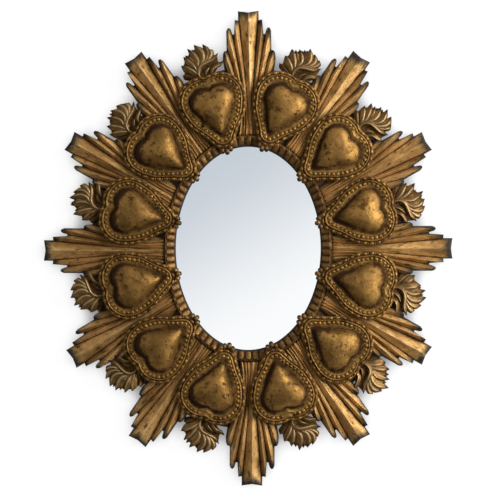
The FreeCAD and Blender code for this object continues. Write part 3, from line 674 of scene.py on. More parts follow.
def carve_heart(number, facing):
    """A dome and border as one closed shell, with its beads and finial."""
    carving = Carving()
    rings, hollow, worn = (list(column) for column in zip(*(dome_rings(facing) + border_rings())))
    columns = len(rings[0])
    back = (len(rings) - 1) * columns
    crown, foot = back + columns, back + columns + 1
    middles = [(0.0, DOME_MIDDLE, BORDER_FRONT + DOME_HEIGHT), (0.0, DOME_MIDDLE, RING_FRONT)]
    faces = strip_faces(len(rings), columns)
    faces += [((k + 1) % columns, k, crown) for k in range(columns)]
    faces += [(back + k, back + (k + 1) % columns, foot) for k in range(columns)]
    carving.add(np.vstack(rings + [middles]), faces, np.concatenate(hollow + [(0.0, 1.0)]),
                np.concatenate(worn + [(0.2, 0.0)]))
    add_bead_rows(carving, np.random.default_rng(HEART_LOTS + number))
    add_finial(carving)
    return carving


print("one heart:", carve_heart(1, UPRIGHT).count, "points")

# %% The twelve hearts
# Hearts that stand a little crooked: number and degrees
HEART_LEANS = {3: -8.0, 4: -3.0, 10: -6.0}
HEART_GRAIN, HEART_GRAIN_STEP = 0.7, np.array([170.0, 90.0, 0.0])
for number, (spot, facing) in enumerate(heart_places, 1):
    points, faces, marks, grain = carve_heart(number, facing).gathered()
    placed = set_in_place(points, spot, facing + HEART_LEANS.get(number, 0.0))
    make_piece(f"carved_heart_{number:02d}", placed, faces, marks,
               grain * HEART_GRAIN + number * HEART_GRAIN_STEP,
               heart_gilt, [f"heart_{number:02d}"])
print("hearts made:", len(heart_places), "faces of one:", len(faces))

# %% [markdown]
# ## The flames
# A plume of curling tongues stands on each heart: a stem that rises and bows over to one side, tongues
# that fan from it, and a low arm that curls out under a shaded hollow. Carving them into one displaced
# sheet would blur the crisp grooves between them. So each tongue is swept along a smooth line of control
# points, with a width that tapers to a burnt point and one worn crest along it. A bed behind them, dark
# with painted shade, closes the gaps.

# %% A smooth line through control points


def smooth_line(controls, steps):
    """A curve through the control points, as even steps."""
    ends = np.vstack([2 * controls[0] - controls[1], controls, 2 * controls[-1] - controls[-2]])
    line = []
    for place in np.linspace(0.0, len(controls) - 1.0, steps):
        k = min(int(place), len(controls) - 2)
        t = place - k
        a, b, c, d = ends[k:k + 4]
        line.append(0.5 * (2 * b + (c - a) * t + (2 * a - 5 * b + 4 * c - d) * t ** 2
                           + (3 * b - a - 3 * c + d) * t ** 3))
    return np.array(line)


bow = np.array([(0.0, 0.0), (1.0, 1.0), (2.0, 0.0)])
print("a bow in five steps:", smooth_line(bow, 5).round(2).tolist())

# %% One tongue
TONGUE_STEPS = 22
# Across a tongue: place on the half width, depth under the crest, hollow, worn
TONGUE_SECTION = ((-1.0, -5.5, 0.8, 0.0), (-0.88, -3.0, 0.55, 0.0), (-0.62, -1.9, 0.3, 0.0),
                  (-0.32, -1.6, 0.25, 0.0), (-0.06, -1.1, 0.15, 0.2), (0.16, -0.3, 0.0, 0.8),
                  (0.34, 0.0, 0.0, 1.0), (0.52, -0.4, 0.05, 0.7), (0.76, -1.7, 0.4, 0.0),
                  (1.0, -5.5, 0.9, 0.0))
TAPER, TAPER_CURVE, POINT_WIDTH = 0.24, 0.85, 0.12
ROOT_WIDTH, FULL_WIDTH_AT, CREST_AT = 0.65, 0.55, 0.45
TONGUE_GROUND = 0.4


def crest_line(t, root, crest, tip):
    """The crest's height along a tongue, evened out over five steps."""
    straight = np.interp(t, (0.0, CREST_AT, 1.0), (root, crest, tip))
    return RING_FRONT + np.convolve(np.pad(straight, 2, "edge"), np.ones(5) / 5, "valid")


def add_tongue(carving, controls, half_width, heights, dark, index):
    """One swept tongue, closed at its root and its point."""
    line = smooth_line(controls, TONGUE_STEPS)
    way = np.gradient(line, axis=0)
    way /= np.hypot(way[:, 0], way[:, 1])[:, None]
    side = np.column_stack([way[:, 1], -way[:, 0]])
    t = np.linspace(0.0, 1.0, TONGUE_STEPS)
    point = np.minimum(1.0, (1.0 - t) / TAPER) ** TAPER_CURVE
    width = half_width * point * (ROOT_WIDTH + (1.0 - ROOT_WIDTH) * ease(0.0, FULL_WIDTH_AT, t)) + POINT_WIDTH
    crest = crest_line(t, *heights)
    thin = np.clip(width / 2.0, 0.25, 1.0)
    points, hollow, worn, burnt, grain = [], [], [], [], []
    for k in range(TONGUE_STEPS):
        for across, depth, low, high in TONGUE_SECTION:
            x, y = line[k] + side[k] * across * width[k]
            points.append((x, y, max(crest[k] + depth * thin[k], RING_FRONT + TONGUE_GROUND)))
            hollow.append(low * (1.0 - 0.3 * t[k]) + dark)
            worn.append(high * (1.0 - dark) * (1.0 - 0.8 * ease(0.7, 0.95, t[k])))
            burnt.append(ease(0.78, 0.98, t[k]) * 0.9)
            grain.append((across * width[k] + index * 13.0, t[k] * 9.0, index * 7.0))
    columns = len(TONGUE_SECTION)
    faces = strip_faces(TONGUE_STEPS, columns)
    faces += [tuple(range(columns))[::-1], tuple((TONGUE_STEPS - 1) * columns + k for k in range(columns))]
    carving.add(points, faces, hollow, worn, burnt, grain)


print("one tongue:", TONGUE_STEPS, "steps of", len(TONGUE_SECTION), "points")

# %% [markdown]
# ### The plume
# The twelve plumes share one drawing, but no two were cut quite alike. Twelve drawings could be made, or
# the same plume could be copied twelve times, which looks cast. Here the tips and widths are scattered a
# little from one table of tongues, which lists the low ones first and the stem on top last.

# %% The plume's tongues
# Each tongue: control points from the foot of the flame, half width, heights over the ring at its root,
# crest and tip, and how dark it stays
TONGUES = (
    (((-8, 6), (-8.5, 18), (-9, 27), (-12, 35), (-17, 43)), 5.4, (7.0, 9.5, 7.0), 0.2),
    (((-7, 9), (-3.5, 20), (1, 29), (0.5, 38), (-5, 49)), 5.8, (8.0, 10.5, 7.5), 0.1),
    (((-8, -1), (-15, 3), (-22, 7), (-28, 10.5), (-32, 14)), 5.0, (5.0, 7.0, 5.5), 0.5),
    (((-8, 2), (-12, 10), (-18, 17), (-24, 22.5), (-30, 29)), 6.2, (7.0, 10.0, 7.5), 0.0),
    (((-8, 5), (-10, 16), (-14, 25), (-18, 32), (-23, 40.5)), 6.2, (8.0, 11.0, 8.0), 0.0),
    (((-7, 8), (-5.5, 20), (-3, 29), (-5.5, 38), (-11.5, 49.5)), 6.0, (9.0, 12.0, 9.0), 0.0),
    (((0, 18), (8, 22.5), (17, 28.5), (22, 34), (23, 38), (23, 42)), 5.8, (9.0, 11.0, 8.0), 0.0),
    (((-4, 13), (2, 21), (11, 28), (15.5, 36), (14.5, 43), (11.5, 50)), 6.0, (9.0, 12.0, 8.5), 0.0),
    (((-6, 11), (-1, 21), (6, 29), (7.5, 38), (4, 46), (0.5, 54)), 6.0, (9.0, 13.5, 9.0), 0.0),
    (((2, -3), (3.5, 4), (7, 10), (13, 14), (20, 16.5)), 3.6, (5.0, 8.5, 6.0), 0.15),
    (((11, -4), (13, 3), (16, 8.5), (22, 11.8), (29, 13.5), (35, 16.5)), 3.8, (6.5, 11.0, 8.0), 0.0),
    (((-5, -4), (-7.5, 6), (-5.5, 14), (0.5, 19.5), (9, 22), (19, 23.5), (27, 26), (33.5, 30)), 4.6,
     (8.0, 14.0, 8.5), 0.0))
print("tongues in a plume:", len(TONGUES))

# %% [markdown]
# ### The bed
# Between the tongues one looks down into deep shade, which the bed carries as painted shade. A plain
# plate could close the gaps, but it would show past the tips. So the bed's outline follows the tips and
# the notches between them, a little inside.

# %% The bed behind the tongues, with painted shade
BED_TIPS = ((-32, 12), (-31, 29), (-23, 40), (-11.5, 49), (0.5, 53), (11.5, 49.5), (23, 41), (33, 29),
            (33, 14))
BED_AT_TIP, BED_AT_NOTCH = 0.92, 0.88
BED_LEFT, BED_RIGHT, BED_FOOT, BED_MIDDLE = (-14.0, -2.0), (14.0, -2.0), (0.0, -10.0), (0.0, 5.0)
# How far the bed stands out, and how much painted shade darkens it
BED_FRONT, BED_SHADE = 4.5, 0.6


def add_bed(carving):
    """The flat ground behind the tongues, cut a little inside their tips and darkened as painted shade."""
    line = [BED_LEFT]
    for k, (x, y) in enumerate(BED_TIPS):
        line.append((x * BED_AT_TIP, y * BED_AT_TIP))
        if k + 1 < len(BED_TIPS):
            ahead = BED_TIPS[k + 1]
            line.append(((x + ahead[0]) / 2 * BED_AT_NOTCH, (y + ahead[1]) / 2 * BED_AT_NOTCH))
    line += [BED_RIGHT, BED_FOOT]
    count = len(line)
    points = [(x, y, RING_FRONT + height) for height in (0.0, BED_FRONT) for x, y in line]
    points.append((*BED_MIDDLE, RING_FRONT + BED_FRONT))
    faces = strip_faces(2, count)
    faces += [(count + k, count + (k + 1) % count, 2 * count) for k in range(count)]
    faces.append(tuple(range(count))[::-1])
    carving.add(points, [face[::-1] for face in faces], BED_SHADE)


bed = Carving()
add_bed(bed)
print("bed:", bed.count, "points")

# %% The twelve plumes
FLAME_FOOT = 58.0
FLAME_LOTS, TIP_SCATTER, WIDTH_SCATTER = 300, 1.3, 0.08
# Plumes that lean, by number and degrees, and those that bow to the other side
FLAME_LEANS = {3: -4.0, 4: -1.5, 9: 3.0, 10: 3.0}
MIRRORED_FLAMES = (9, 10)
FLAME_GRAIN_STEP = np.array([60.0, 0.0, 31.0])


def carve_flame(number):
    """One plume, whose tongues differ a little from the other plumes'."""
    lots = np.random.default_rng(FLAME_LOTS + number)
    carving = Carving()
    add_bed(carving)
    for index, (controls, half_width, heights, dark) in enumerate(TONGUES):
        tip_share = np.linspace(0.0, 1.0, len(controls))[:, None] ** 2
        bent = np.asarray(controls, float) + tip_share * lots.normal(0.0, TIP_SCATTER, 2)
        width = half_width * (1.0 + lots.normal(0.0, WIDTH_SCATTER))
        add_tongue(carving, bent, width, heights, dark, index)
    return carving


for number, (spot, facing) in enumerate(heart_places, 1):
    points, faces, marks, grain = carve_flame(number).gathered()
    flip = number in MIRRORED_FLAMES
    placed = set_in_place(points + (0.0, FLAME_FOOT, 0.0), spot, facing + FLAME_LEANS.get(number, 0.0), flip)
    make_piece(f"carved_flame_{number:02d}", placed, faces, marks, grain + number * FLAME_GRAIN_STEP,
               flame_gilt, [f"flame_{number:02d}"], flip=flip)
print("plumes made:", len(heart_places), "points of one:", len(points))

# %% [markdown]
# ## The ray bundles
# Between the hearts stand bundles of straight rays, cut in steps from one board and fluted, with a ridge
# on the axis. Each ray could be a bar of its own, but on the real object the flutes run on from the rim
# to the ends: they close up to a waist between two hearts and open again. So each flute is a line of one
# family of hyperbolas, and one grid of such lines makes the bundle. The ends are rounded over and
# blackened, and the foot drops off just before the rim.

# %% The fan's outline
WAIST_DROP, WAIST_SPREAD = 170.0, 42.0
RAY_OUTLINE = ((0.0, -3.5), (16.5, 0.0), (16.5, -15.0), (22.0, -15.0), (23.5, -37.5), (26.0, -37.5),
               (28.5, -29.5), (31.0, -27.0), (34.0, -28.5), (36.0, -33.0), (36.0, -63.5), (40.0, -65.0),
               (42.0, -69.0), (43.0, -86.0))
OUTLINE_STEPS = 30


def spread(reach):
    """How wide the fan is at a distance out from its waist."""
    return np.hypot(reach, WAIST_SPREAD)


outline = np.vstack([np.linspace(start, end, OUTLINE_STEPS)
                     for start, end in zip(RAY_OUTLINE[:-1], RAY_OUTLINE[1:])])
outline_reach = WAIST_DROP + outline[:, 1]
outline_slope = outline[:, 0] / spread(outline_reach)
print("fan:", 2 * RAY_OUTLINE[-1][0], "mm wide,", len(outline), "points on half its outline")

# %% [markdown]
# ### The flutes
# Hollow flutes with narrow ridges between them fan out from the axis. A bump in the material could draw
# them, but the ends would stay flat when seen from the side. So the lines of the grid follow the ridges
# and the valleys, close together where the surface turns and at each step of the outline.

# %% The fan's lines
# Ridges and valleys by turns, as angles from the axis, and the lines drawn from each to the next
FLUTE_ANGLES = (0.0, 5.6, 8.1, 10.6, 13.2, 16.6, 19.4, 22.8)
FLUTE_SHARES = (0.04, 0.12, 0.25, 0.4, 0.55, 0.7, 0.83, 0.94, 1.0)
LEAST_STEP = 4e-4
flute_slopes = np.tan(np.radians(FLUTE_ANGLES))
half_slopes = {0.0} | {float(x / spread(y + WAIST_DROP)) for x, y in RAY_OUTLINE[1:-1]}
for low, high in zip(flute_slopes[:-1], flute_slopes[1:]):
    half_slopes |= {float(low + (high - low) * share) for share in FLUTE_SHARES}
half_slopes = np.array(sorted(half_slopes))
half_slopes = half_slopes[np.concatenate([[True], np.diff(half_slopes) > LEAST_STEP])]
fan_slopes = np.concatenate([-half_slopes[:0:-1], half_slopes])
fan_ends = np.interp(np.abs(fan_slopes), outline_slope, outline_reach)
ridge_share = np.interp(np.abs(fan_slopes), flute_slopes, [1.0 - k % 2 for k in range(len(flute_slopes))])
print("fan lines:", len(fan_slopes))

# %% Where the fan meets the rim
RIM_WIDTH, FOOT_GAP = 17.0, 0.8
FOOT_SEARCH = (-75.0, 20.0, 191)


def foot_reaches(spot, facing):
    """Where each line of the fan meets the oval just outside the rim."""
    tries = np.linspace(*FOOT_SEARCH)
    reach = np.repeat(tries[:, None], len(fan_slopes), 1)
    drawn = np.column_stack([(fan_slopes * spread(reach)).ravel(), reach.ravel() - WAIST_DROP,
                             np.zeros(reach.size)])
    laid = set_in_place(drawn, spot, facing)
    rim_edge = [half + RIM_WIDTH + FOOT_GAP for half in SIGHT]
    gap = (laid[:, 0] / rim_edge[0]) ** 2 + (laid[:, 1] / rim_edge[1]) ** 2 - 1.0
    return np.array([np.interp(0.0, line, tries) for line in gap.reshape(reach.shape).T])


print("the first bundle starts", -foot_reaches(*ray_places[0]).min().round(1), "mm inside its waist")

# %% [markdown]
# ### A bundle's front, ends and back
# The front sinks towards the waist, and its ends are rounded over and sooty. A Solidify modifier could
# give it a thickness, but would repeat the flutes on the back. So the first and the last row of the grid
# are let down to the ring and joined, which closes the shell with a flat back.

# %% The front of a ray bundle
BLADE_SHARES = np.concatenate([(0.0, 0.006, 0.015, 0.03), np.linspace(0.06, 0.95, 26),
                               (0.966, 0.978, 0.987, 0.994, 1.0)])
MIDDLE_HEIGHT, RIDGE_RISE, VALLEY_FALL, BACK_GAP = 6.0, 6.0, 4.5, 0.3
END_ROUNDING, FOOT_ROUNDING = 3.0, 1.5
RAY_LOTS, SOOT_LENGTH = 500, 18.0


def blade_rows(number, spot, facing):
    """The front's rows from foot to end: points, hollow, worn, burnt and grain of each."""
    lots = np.random.default_rng(RAY_LOTS + number)
    starts = foot_reaches(spot, facing)
    # The ridges' tops are a little flattened
    swell = ridge_share - 0.3 * np.clip(ridge_share - 0.9, 0.0, 1.0)
    flute = RIDGE_RISE * swell - VALLEY_FALL * (1.0 - swell)
    waver = np.convolve(lots.normal(0.0, 1.0, len(fan_slopes)), np.ones(5) / 5, "same")
    valley, ridge = ease(0.32, 0.0, ridge_share), ease(0.3, 1.0, ridge_share + 0.2 * waver)
    rows = []
    for share in BLADE_SHARES:
        reach = starts + (fan_ends - starts) * share
        to_end, to_foot = fan_ends - reach, reach - starts
        rounding = END_ROUNDING * ease(3.4, 0.0, to_end) + FOOT_ROUNDING * ease(2.5, 0.0, to_foot)
        height = MIDDLE_HEIGHT + flute * (0.12 + 0.88 * spread(reach) / WAIST_DROP) - rounding
        points = np.column_stack([fan_slopes * spread(reach), reach - WAIST_DROP, RING_FRONT + height])
        # Valleys keep wax; next to the rim the foot gets painted shade
        hollow = valley * 0.85 * ease(0.0, 50.0, to_foot + 10.0) + 0.45 * ease(3.5, 0.5, to_foot)
        burnt = 0.9 * np.clip(1.0 - (to_end + 4.0 * waver) / SOOT_LENGTH, 0.0, 1.0)
        grain = np.column_stack([fan_slopes * 120.0, reach * 0.3, np.zeros(len(fan_slopes))])
        rows.append((points, hollow, 0.5 * ridge, burnt, grain))
    return rows


print("rows of a bundle's front:", len(BLADE_SHARES))

# %% Closing a ray bundle


def carve_rays(number, spot, facing):
    """A bundle as one closed shell: its front, its ends, its back and its two sides."""
    rows = blade_rows(number, spot, facing)
    columns = len(fan_slopes)
    back_grain = rows[0][-1] + (0.0, 6.0, 9.0)
    for edge, soot in ((rows[-1][0], 0.3), (rows[0][0], 0.0)):
        low = edge.copy()
        low[:, 2] = RING_FRONT + BACK_GAP
        rows.append((low, np.ones(columns), np.zeros(columns), np.full(columns, soot), back_grain))
    last = (len(rows) - 1) * columns
    faces = strip_faces(len(rows), columns, closed=False)
    faces += [(k, last + k, last + k + 1, k + 1) for k in range(columns - 1)]
    faces.append(tuple(row * columns for row in range(len(rows))))
    faces.append(tuple(row * columns + columns - 1 for row in range(len(rows)))[::-1])
    points, hollow, worn, burnt, grain = (np.concatenate(column) for column in zip(*rows))
    carving = Carving()
    carving.add(points, faces, hollow, worn, burnt, grain)
    return carving


print("one bundle:", carve_rays(1, *ray_places[0]).count, "points")

# %% The twelve ray bundles
# Bundles that are turned about the mirror's middle, or lean, by number and degrees
RAY_TURNS = {5: 0.5, 7: 0.6, 8: 1.0, 9: 0.7, 10: 0.9}
RAY_LEANS = {4: 1.2, 7: -1.0, 10: -1.3}
RAY_GRAIN_STEP = np.array([140.0, 3.0, 0.0])
RAY_SHARP_EDGE = 35.0
for number, (end, facing) in enumerate(ray_places, 1):
    turn = math.radians(RAY_TURNS.get(number, 0.0))
    spot = np.array([end[0] * math.cos(turn) - end[1] * math.sin(turn),
                     end[0] * math.sin(turn) + end[1] * math.cos(turn)])
    facing = facing + math.degrees(turn) + RAY_LEANS.get(number, 0.0)
    points, faces, marks, grain = carve_rays(number, spot, facing).gathered()
    make_piece(f"carved_rays_{number:02d}", set_in_place(points, spot, facing), faces, marks,
               grain + number * RAY_GRAIN_STEP, ray_gilt, [f"ray_bundle_{number:02d}"],
               sharp=RAY_SHARP_EDGE)
print("ray bundles made:", len(ray_places), "points of one:", len(points))

# %% [markdown]
# ## The rim
# The moulding slopes from a crest down to the glass and carries a row of wide rounded blocks, with a dark
# groove and a thin bar between neighbours. One block could be repeated along a curve with an Array
# modifier, but the oval's bend would stretch the blocks unevenly and leave seams. So the rim is a band of
# rings whose heights follow the blocks at even steps along the oval, and it stays one clean surface. Its
# edges carry painted shade, and it is darker towards the bottom.

# %% Even steps along the rim
BLOCK_PITCH, BLOCK_STEPS = 11.4, 16
PITCH_LINE, OVAL_STEPS = 8.0, 20001
turns = np.linspace(0.0, 2 * math.pi, OVAL_STEPS)
oval = np.column_stack([(SIGHT[0] + PITCH_LINE) * np.cos(turns), (SIGHT[1] + PITCH_LINE) * np.sin(turns)])
lengths = np.concatenate([[0.0], np.cumsum(np.hypot(*np.diff(oval, axis=0).T))])
blocks = round(lengths[-1] / BLOCK_PITCH)
columns = blocks * BLOCK_STEPS
pitch = lengths[-1] / blocks
at_length = np.arange(columns) * lengths[-1] / columns
at_turn = np.interp(at_length, lengths, turns)
from_middle = ((np.arange(columns) % BLOCK_STEPS) / BLOCK_STEPS - 0.5) * pitch
print("rim:", blocks, "blocks,", round(pitch, 2), "mm each")

# %% The rim's rings
RIM_ROWS = (0.0, 0.6, 1.4, 2.2, 3.0, 3.8, 4.6, 5.5, 6.5, 7.5, 8.5, 9.5, 10.3, 11.1, 11.9, 12.6, 13.2, 14.0,
            15.0, 16.0, 16.7, RIM_WIDTH)
# The plain profile: offsets from the glass, and the heights there
RIM_OFFSETS = (0.0, 2.4, 12.4, 13.4, 16.2, RIM_WIDTH)
RIM_HEIGHTS = (27.0, 28.0, 32.4, 33.6, 33.8, 32.8)
BLOCK_MIDDLE, BLOCK_HALF_LENGTH, BLOCK_HALF_WIDTH, BLOCK_RISE = 7.4, 5.0, 7.0, 2.4
BAR_RISE, BAR_WIDTH = 0.6, 0.5
# Painted shade along the rim's two edges, and how much darker the rim gets towards the bottom
EDGE_SHADE, BOTTOM_DARKENING = 0.7, 0.4


def rim_ring(offset, heights):
    """A ring of the rim at an offset from the glass."""
    return np.column_stack([(SIGHT[0] + offset) * np.cos(at_turn), (SIGHT[1] + offset) * np.sin(at_turn),
                            np.full(columns, heights)])


rings, hollow, worn, grain = [], [], [], []
for offset in RIM_ROWS:
    across = abs(offset - BLOCK_MIDDLE)
    inside = (from_middle / BLOCK_HALF_LENGTH) ** 2 + (across / BLOCK_HALF_WIDTH) ** 4
    block = BLOCK_RISE * np.sqrt(np.clip(1.0 - inside, 0.0, 1.0))
    bar = BAR_RISE * np.exp(-((np.abs(from_middle) - pitch / 2) / BAR_WIDTH) ** 2) * ease(6.6, 5.4, across)
    heights = np.interp(offset, RIM_OFFSETS, RIM_HEIGHTS) + block + bar
    flat = ease(5.4, 6.4, across)
    groove = (1.0 - ease(0.0, 1.6, block + bar)) * 0.9 * (1.0 - flat) + 0.3 * flat
    # Painted shade on the rows at the rim's two edges
    edge = EDGE_SHADE if offset in (RIM_ROWS[0], RIM_ROWS[-1]) else 0.0
    rings.append(rim_ring(offset, heights))
    # Darker towards the bottom
    hollow.append(np.clip(groove, 0, 1) + edge + BOTTOM_DARKENING * ease(0.5, 0.9, -np.sin(at_turn)))
    worn.append(np.clip(0.5 * ease(1.2, 2.3, block + bar) + 0.1 * flat, 0, 1))
    grain.append(np.column_stack([at_length, np.full(columns, offset), heights]))
print("rim rings on the front:", len(rings))

# %% Closing the rim at the back
# Painted shade on the sight edge and on the inner wall down to the glass, carried by the soot mark
SIGHT_SHADE, SIGHT_SHADE_WIDTH, INNER_WALL_SHADE = 0.75, 2.0, 0.6
for offset in (RIM_ROWS[-1], RIM_ROWS[0]):
    rings.append(rim_ring(offset, RING_FRONT))
    hollow.append(np.ones(columns))
    worn.append(np.zeros(columns))
    grain.append(grain[0])
last = (len(rings) - 1) * columns
faces = [face[::-1] for face in strip_faces(len(rings), columns)]
faces += [(k, (k + 1) % columns, last + (k + 1) % columns, last + k) for k in range(columns)]
# Here the soot mark holds only painted shade
soot = [SIGHT_SHADE * (offset < SIGHT_SHADE_WIDTH) for offset in RIM_ROWS] + [0.0, INNER_WALL_SHADE]
marks = np.column_stack([np.concatenate(hollow), np.concatenate(worn), np.repeat(soot, columns)])
make_piece("egg_rim", np.vstack(rings), faces, marks, np.vstack(grain),
           rim_gilt, ["rim_moulding"])
print("rim:", len(rings) * columns, "points")

# %% [markdown]
# ## The glass
# The mirror is silvered glass: clear, with the silver behind it. It could be a clear sheet over a metal
# one, but what is seen is the silver's reflection. So the CAD piece keeps its shape and becomes a nearly
# white, very smooth metal. A faint haze in its smoothness stands for an old, wiped surface.

# %% Silvered glass
silver, tree, shader = new_material("silvered_glass")
haze = noise(tree, own_place(tree), 9.0, 3.0)
tree.links.new(blend(tree, haze, rgb(248, 250, 251), rgb(252, 253, 254)), shader.inputs["Base Color"])
tree.links.new(between(tree, haze, 0.4, 0.7, 0.012, 0.03), shader.inputs["Roughness"])
shader.inputs["Metallic"].default_value = 1.0

# %% [markdown]
# ## The boards
# The carcase ring is a stained board with long upright grain, and the backing is pressed hardboard, which
# is brown, cloudy and covered in short fibres. Photographs of wood could be wrapped round them. Noise
# that is stretched along the grain gives the same streaks from any side and at any size.

# %% Stained board and hardboard
ALONG_THE_GRAIN = (6.0, 6.0, 0.35)
stained_board, tree, shader = new_material("stained_board")
grain_lines = noise(tree, own_place(tree), 26.0, 7.0, 0.62, ALONG_THE_GRAIN)
board_patch = noise(tree, own_place(tree), 5.0, 3.0)
streaks = blend(tree, between(tree, grain_lines, 0.35, 0.68), rgb(86, 60, 37), rgb(58, 40, 24))
tree.links.new(blend(tree, between(tree, board_patch, 0.4, 0.7, 0.0, 0.5), streaks, rgb(94, 66, 42)),
               shader.inputs["Base Color"])
tree.links.new(between(tree, grain_lines, 0.3, 0.7, 0.5, 0.72), shader.inputs["Roughness"])
tree.links.new(bump(tree, grain_lines, 0.25, 0.0004), shader.inputs["Normal"])
shader.inputs["Specular IOR Level"].default_value = 0.25

hardboard, tree, shader = new_material("hardboard")
fibre = noise(tree, own_place(tree), 620.0, 5.0, 0.7)
cloud = noise(tree, own_place(tree), 12.0, 4.0)
tree.links.new(blend(tree, fibre, blend(tree, cloud, rgb(112, 80, 52), rgb(128, 94, 62)), rgb(92, 62, 38)),
               shader.inputs["Base Color"])
tree.links.new(between(tree, fibre, 0.3, 0.7, 0.62, 0.8), shader.inputs["Roughness"])
tree.links.new(bump(tree, fibre, 0.3, 0.0003), shader.inputs["Normal"])

# %% [markdown]
# ## The metal and the rubber
# The turn buttons are dull brass, the hangers plated steel and the screws zinc, each with a film that
# dulls it in patches and fine lines from rolling. They could share one plain grey, but from behind they
# are the bright points that catch the eye. One function makes all three, since only colour, gloss and
# scale differ. The bumpers are dusty black rubber.

# %% Brass, steel, zinc and rubber
ROLLED = (8.0, 1.0, 1.0)


def metal(name, clean, dull, low, high, scale):
    """A metal with a patchy film: clean and dull colour, least and most roughness, scale of the patches."""
    material, tree, shader = new_material(name)
    film = noise(tree, own_place(tree), scale, 5.0, 0.6)
    lines = noise(tree, own_place(tree), scale * 6.0, 3.0, 0.5, ROLLED)
    tree.links.new(blend(tree, between(tree, film, 0.38, 0.68), clean, dull), shader.inputs["Base Color"])
    tree.links.new(between(tree, film, 0.3, 0.7, low, high), shader.inputs["Roughness"])
    tree.links.new(bump(tree, lines, 0.12, 0.0001), shader.inputs["Normal"])
    shader.inputs["Metallic"].default_value = 1.0
    return material


dull_brass = metal("dull_brass", rgb(196, 158, 92), rgb(142, 106, 56), 0.28, 0.46, 90.0)
plated_steel = metal("plated_steel", rgb(186, 186, 182), rgb(138, 136, 130), 0.24, 0.42, 110.0)
zinc_screw = metal("zinc_screw", rgb(168, 166, 160), rgb(112, 108, 100), 0.3, 0.5, 160.0)

rubber, tree, shader = new_material("bumper_rubber")
dust = noise(tree, own_place(tree), 240.0, 5.0, 0.65)
tree.links.new(blend(tree, between(tree, dust, 0.45, 0.75), rgb(34, 34, 34), rgb(66, 64, 60)),
               shader.inputs["Base Color"])
tree.links.new(between(tree, dust, 0.3, 0.7, 0.6, 0.85), shader.inputs["Roughness"])
tree.links.new(bump(tree, dust, 0.2, 0.0002), shader.inputs["Normal"])

# %% [markdown]
# ### Where the plain finishes go
# The CAD solids of the glass, boards, screws and fittings have the right shapes already. They could be
# copied and replaced, but a CAD node that stays keeps its place and its joint by itself. So only its
# material slots are filled.

# %% Each plain piece gets its finish
finishes = {"mirror_glass": silver, "carcase_ring": stained_board, "backing_board": hardboard,
            "wall_bumpers": rubber, "heart_screws": zinc_screw, "ray_screws": zinc_screw,
            "turn_button_screws": zinc_screw, "hanger_screws": zinc_screw}
finishes.update({f"turn_button_{k}": dull_brass for k in range(1, 7)})
finishes.update({f"hanger_{kind}_{side}": plated_steel
                 for kind in ("strap", "ring") for side in ("left", "right")})
for node, material in finishes.items():
    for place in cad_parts[node].material_slots:
        place.material = material
print("plain pieces finished:", len(finishes))

# %% [markdown]
# ## The wall and the floor
# The mirror hangs on a white wall, and its shadow lies on it. A wall that is lit to white would need so
# much light that the gold would bleach. So the wall is a middle grey that glows up to white, less so
# where something stands close to it, and only for rays that show it as a picture. From behind it is
# clear, so that the back of the mirror can be looked at. The pale floor lies far below, out of the
# picture.

# %% The wall
WALL, FLOOR = 0.0004, -1.9
WALL_HALF, WALL_TOP = 2.2, 2.2
SHADOW_REACH, SHADOW_SAMPLES = 0.035, 12


def sheet_of(name, corners, material):
    """A flat sheet of the stage."""
    mesh = bpy.data.meshes.new(name)
    mesh.from_pydata(corners, [], [tuple(range(len(corners)))])
    mesh.materials.append(material)
    made = bpy.data.objects.new(name, mesh)
    bpy.context.scene.collection.objects.link(made)
    return made


wall_white, tree, shader = new_material("wall_white")
paint = noise(tree, own_place(tree), 60.0, 3.0)
tree.links.new(blend(tree, paint, rgb(104, 104, 106), rgb(108, 108, 110)), shader.inputs["Base Color"])
shader.inputs["Roughness"].default_value = 0.9
shader.inputs["Specular IOR Level"].default_value = 0.1
glow = tree.nodes.new("ShaderNodeEmission")
nearness = tree.nodes.new("ShaderNodeAmbientOcclusion")
nearness.samples = SHADOW_SAMPLES
nearness.inputs["Distance"].default_value = SHADOW_REACH
tree.links.new(between(tree, nearness.outputs["AO"], 0.5, 0.92, 0.25, 0.94, False), glow.inputs["Strength"])
lit = tree.nodes.new("ShaderNodeAddShader")
tree.links.new(shader.outputs[0], lit.inputs[0])
tree.links.new(glow.outputs[0], lit.inputs[1])
print("the wall's shadows reach", SHADOW_REACH, "m")

# %% Who sees the wall
clear = tree.nodes.new("ShaderNodeBsdfTransparent")
choose = tree.nodes.new("ShaderNodeMixShader")
ray_kind = tree.nodes.new("ShaderNodeLightPath").outputs
seen = sums(tree, "MAXIMUM", ray_kind["Is Camera Ray"], ray_kind["Is Glossy Ray"])
seen = sums(tree, "MAXIMUM", seen, ray_kind["Is Transmission Ray"])
front = sums(tree, "SUBTRACT", 1.0, tree.nodes.new("ShaderNodeNewGeometry").outputs["Backfacing"])
tree.links.new(sums(tree, "MULTIPLY", seen, front), choose.inputs[0])
tree.links.new(clear.outputs[0], choose.inputs[1])
tree.links.new(lit.outputs[0], choose.inputs[2])
tree.links.new(choose.outputs[0], tree.nodes["Material Output"].inputs["Surface"])
wall = sheet_of("wall", [(-WALL_HALF, WALL, FLOOR), (WALL_HALF, WALL, FLOOR), (WALL_HALF, WALL, WALL_TOP),
                         (-WALL_HALF, WALL, WALL_TOP)], wall_white)
print("stage:", wall.name)

# %% The floor
FLOOR_HALF, FLOOR_NEAR, FLOOR_FAR = 1.1, -0.8, 0.4
pale_floor, tree, shader = new_material("pale_floor")
mottle = noise(tree, own_place(tree), 7.0, 4.0)
tree.links.new(blend(tree, mottle, rgb(222, 220, 216), rgb(232, 230, 226)), shader.inputs["Base Color"])
shader.inputs["Roughness"].default_value = 0.8
floor = sheet_of("floor", [(-FLOOR_HALF, FLOOR_NEAR, FLOOR), (FLOOR_HALF, FLOOR_NEAR, FLOOR),
                           (FLOOR_HALF, FLOOR_FAR, FLOOR), (-FLOOR_HALF, FLOOR_FAR, FLOOR)], pale_floor)
print("stage:", floor.name, "at", FLOOR, "m")

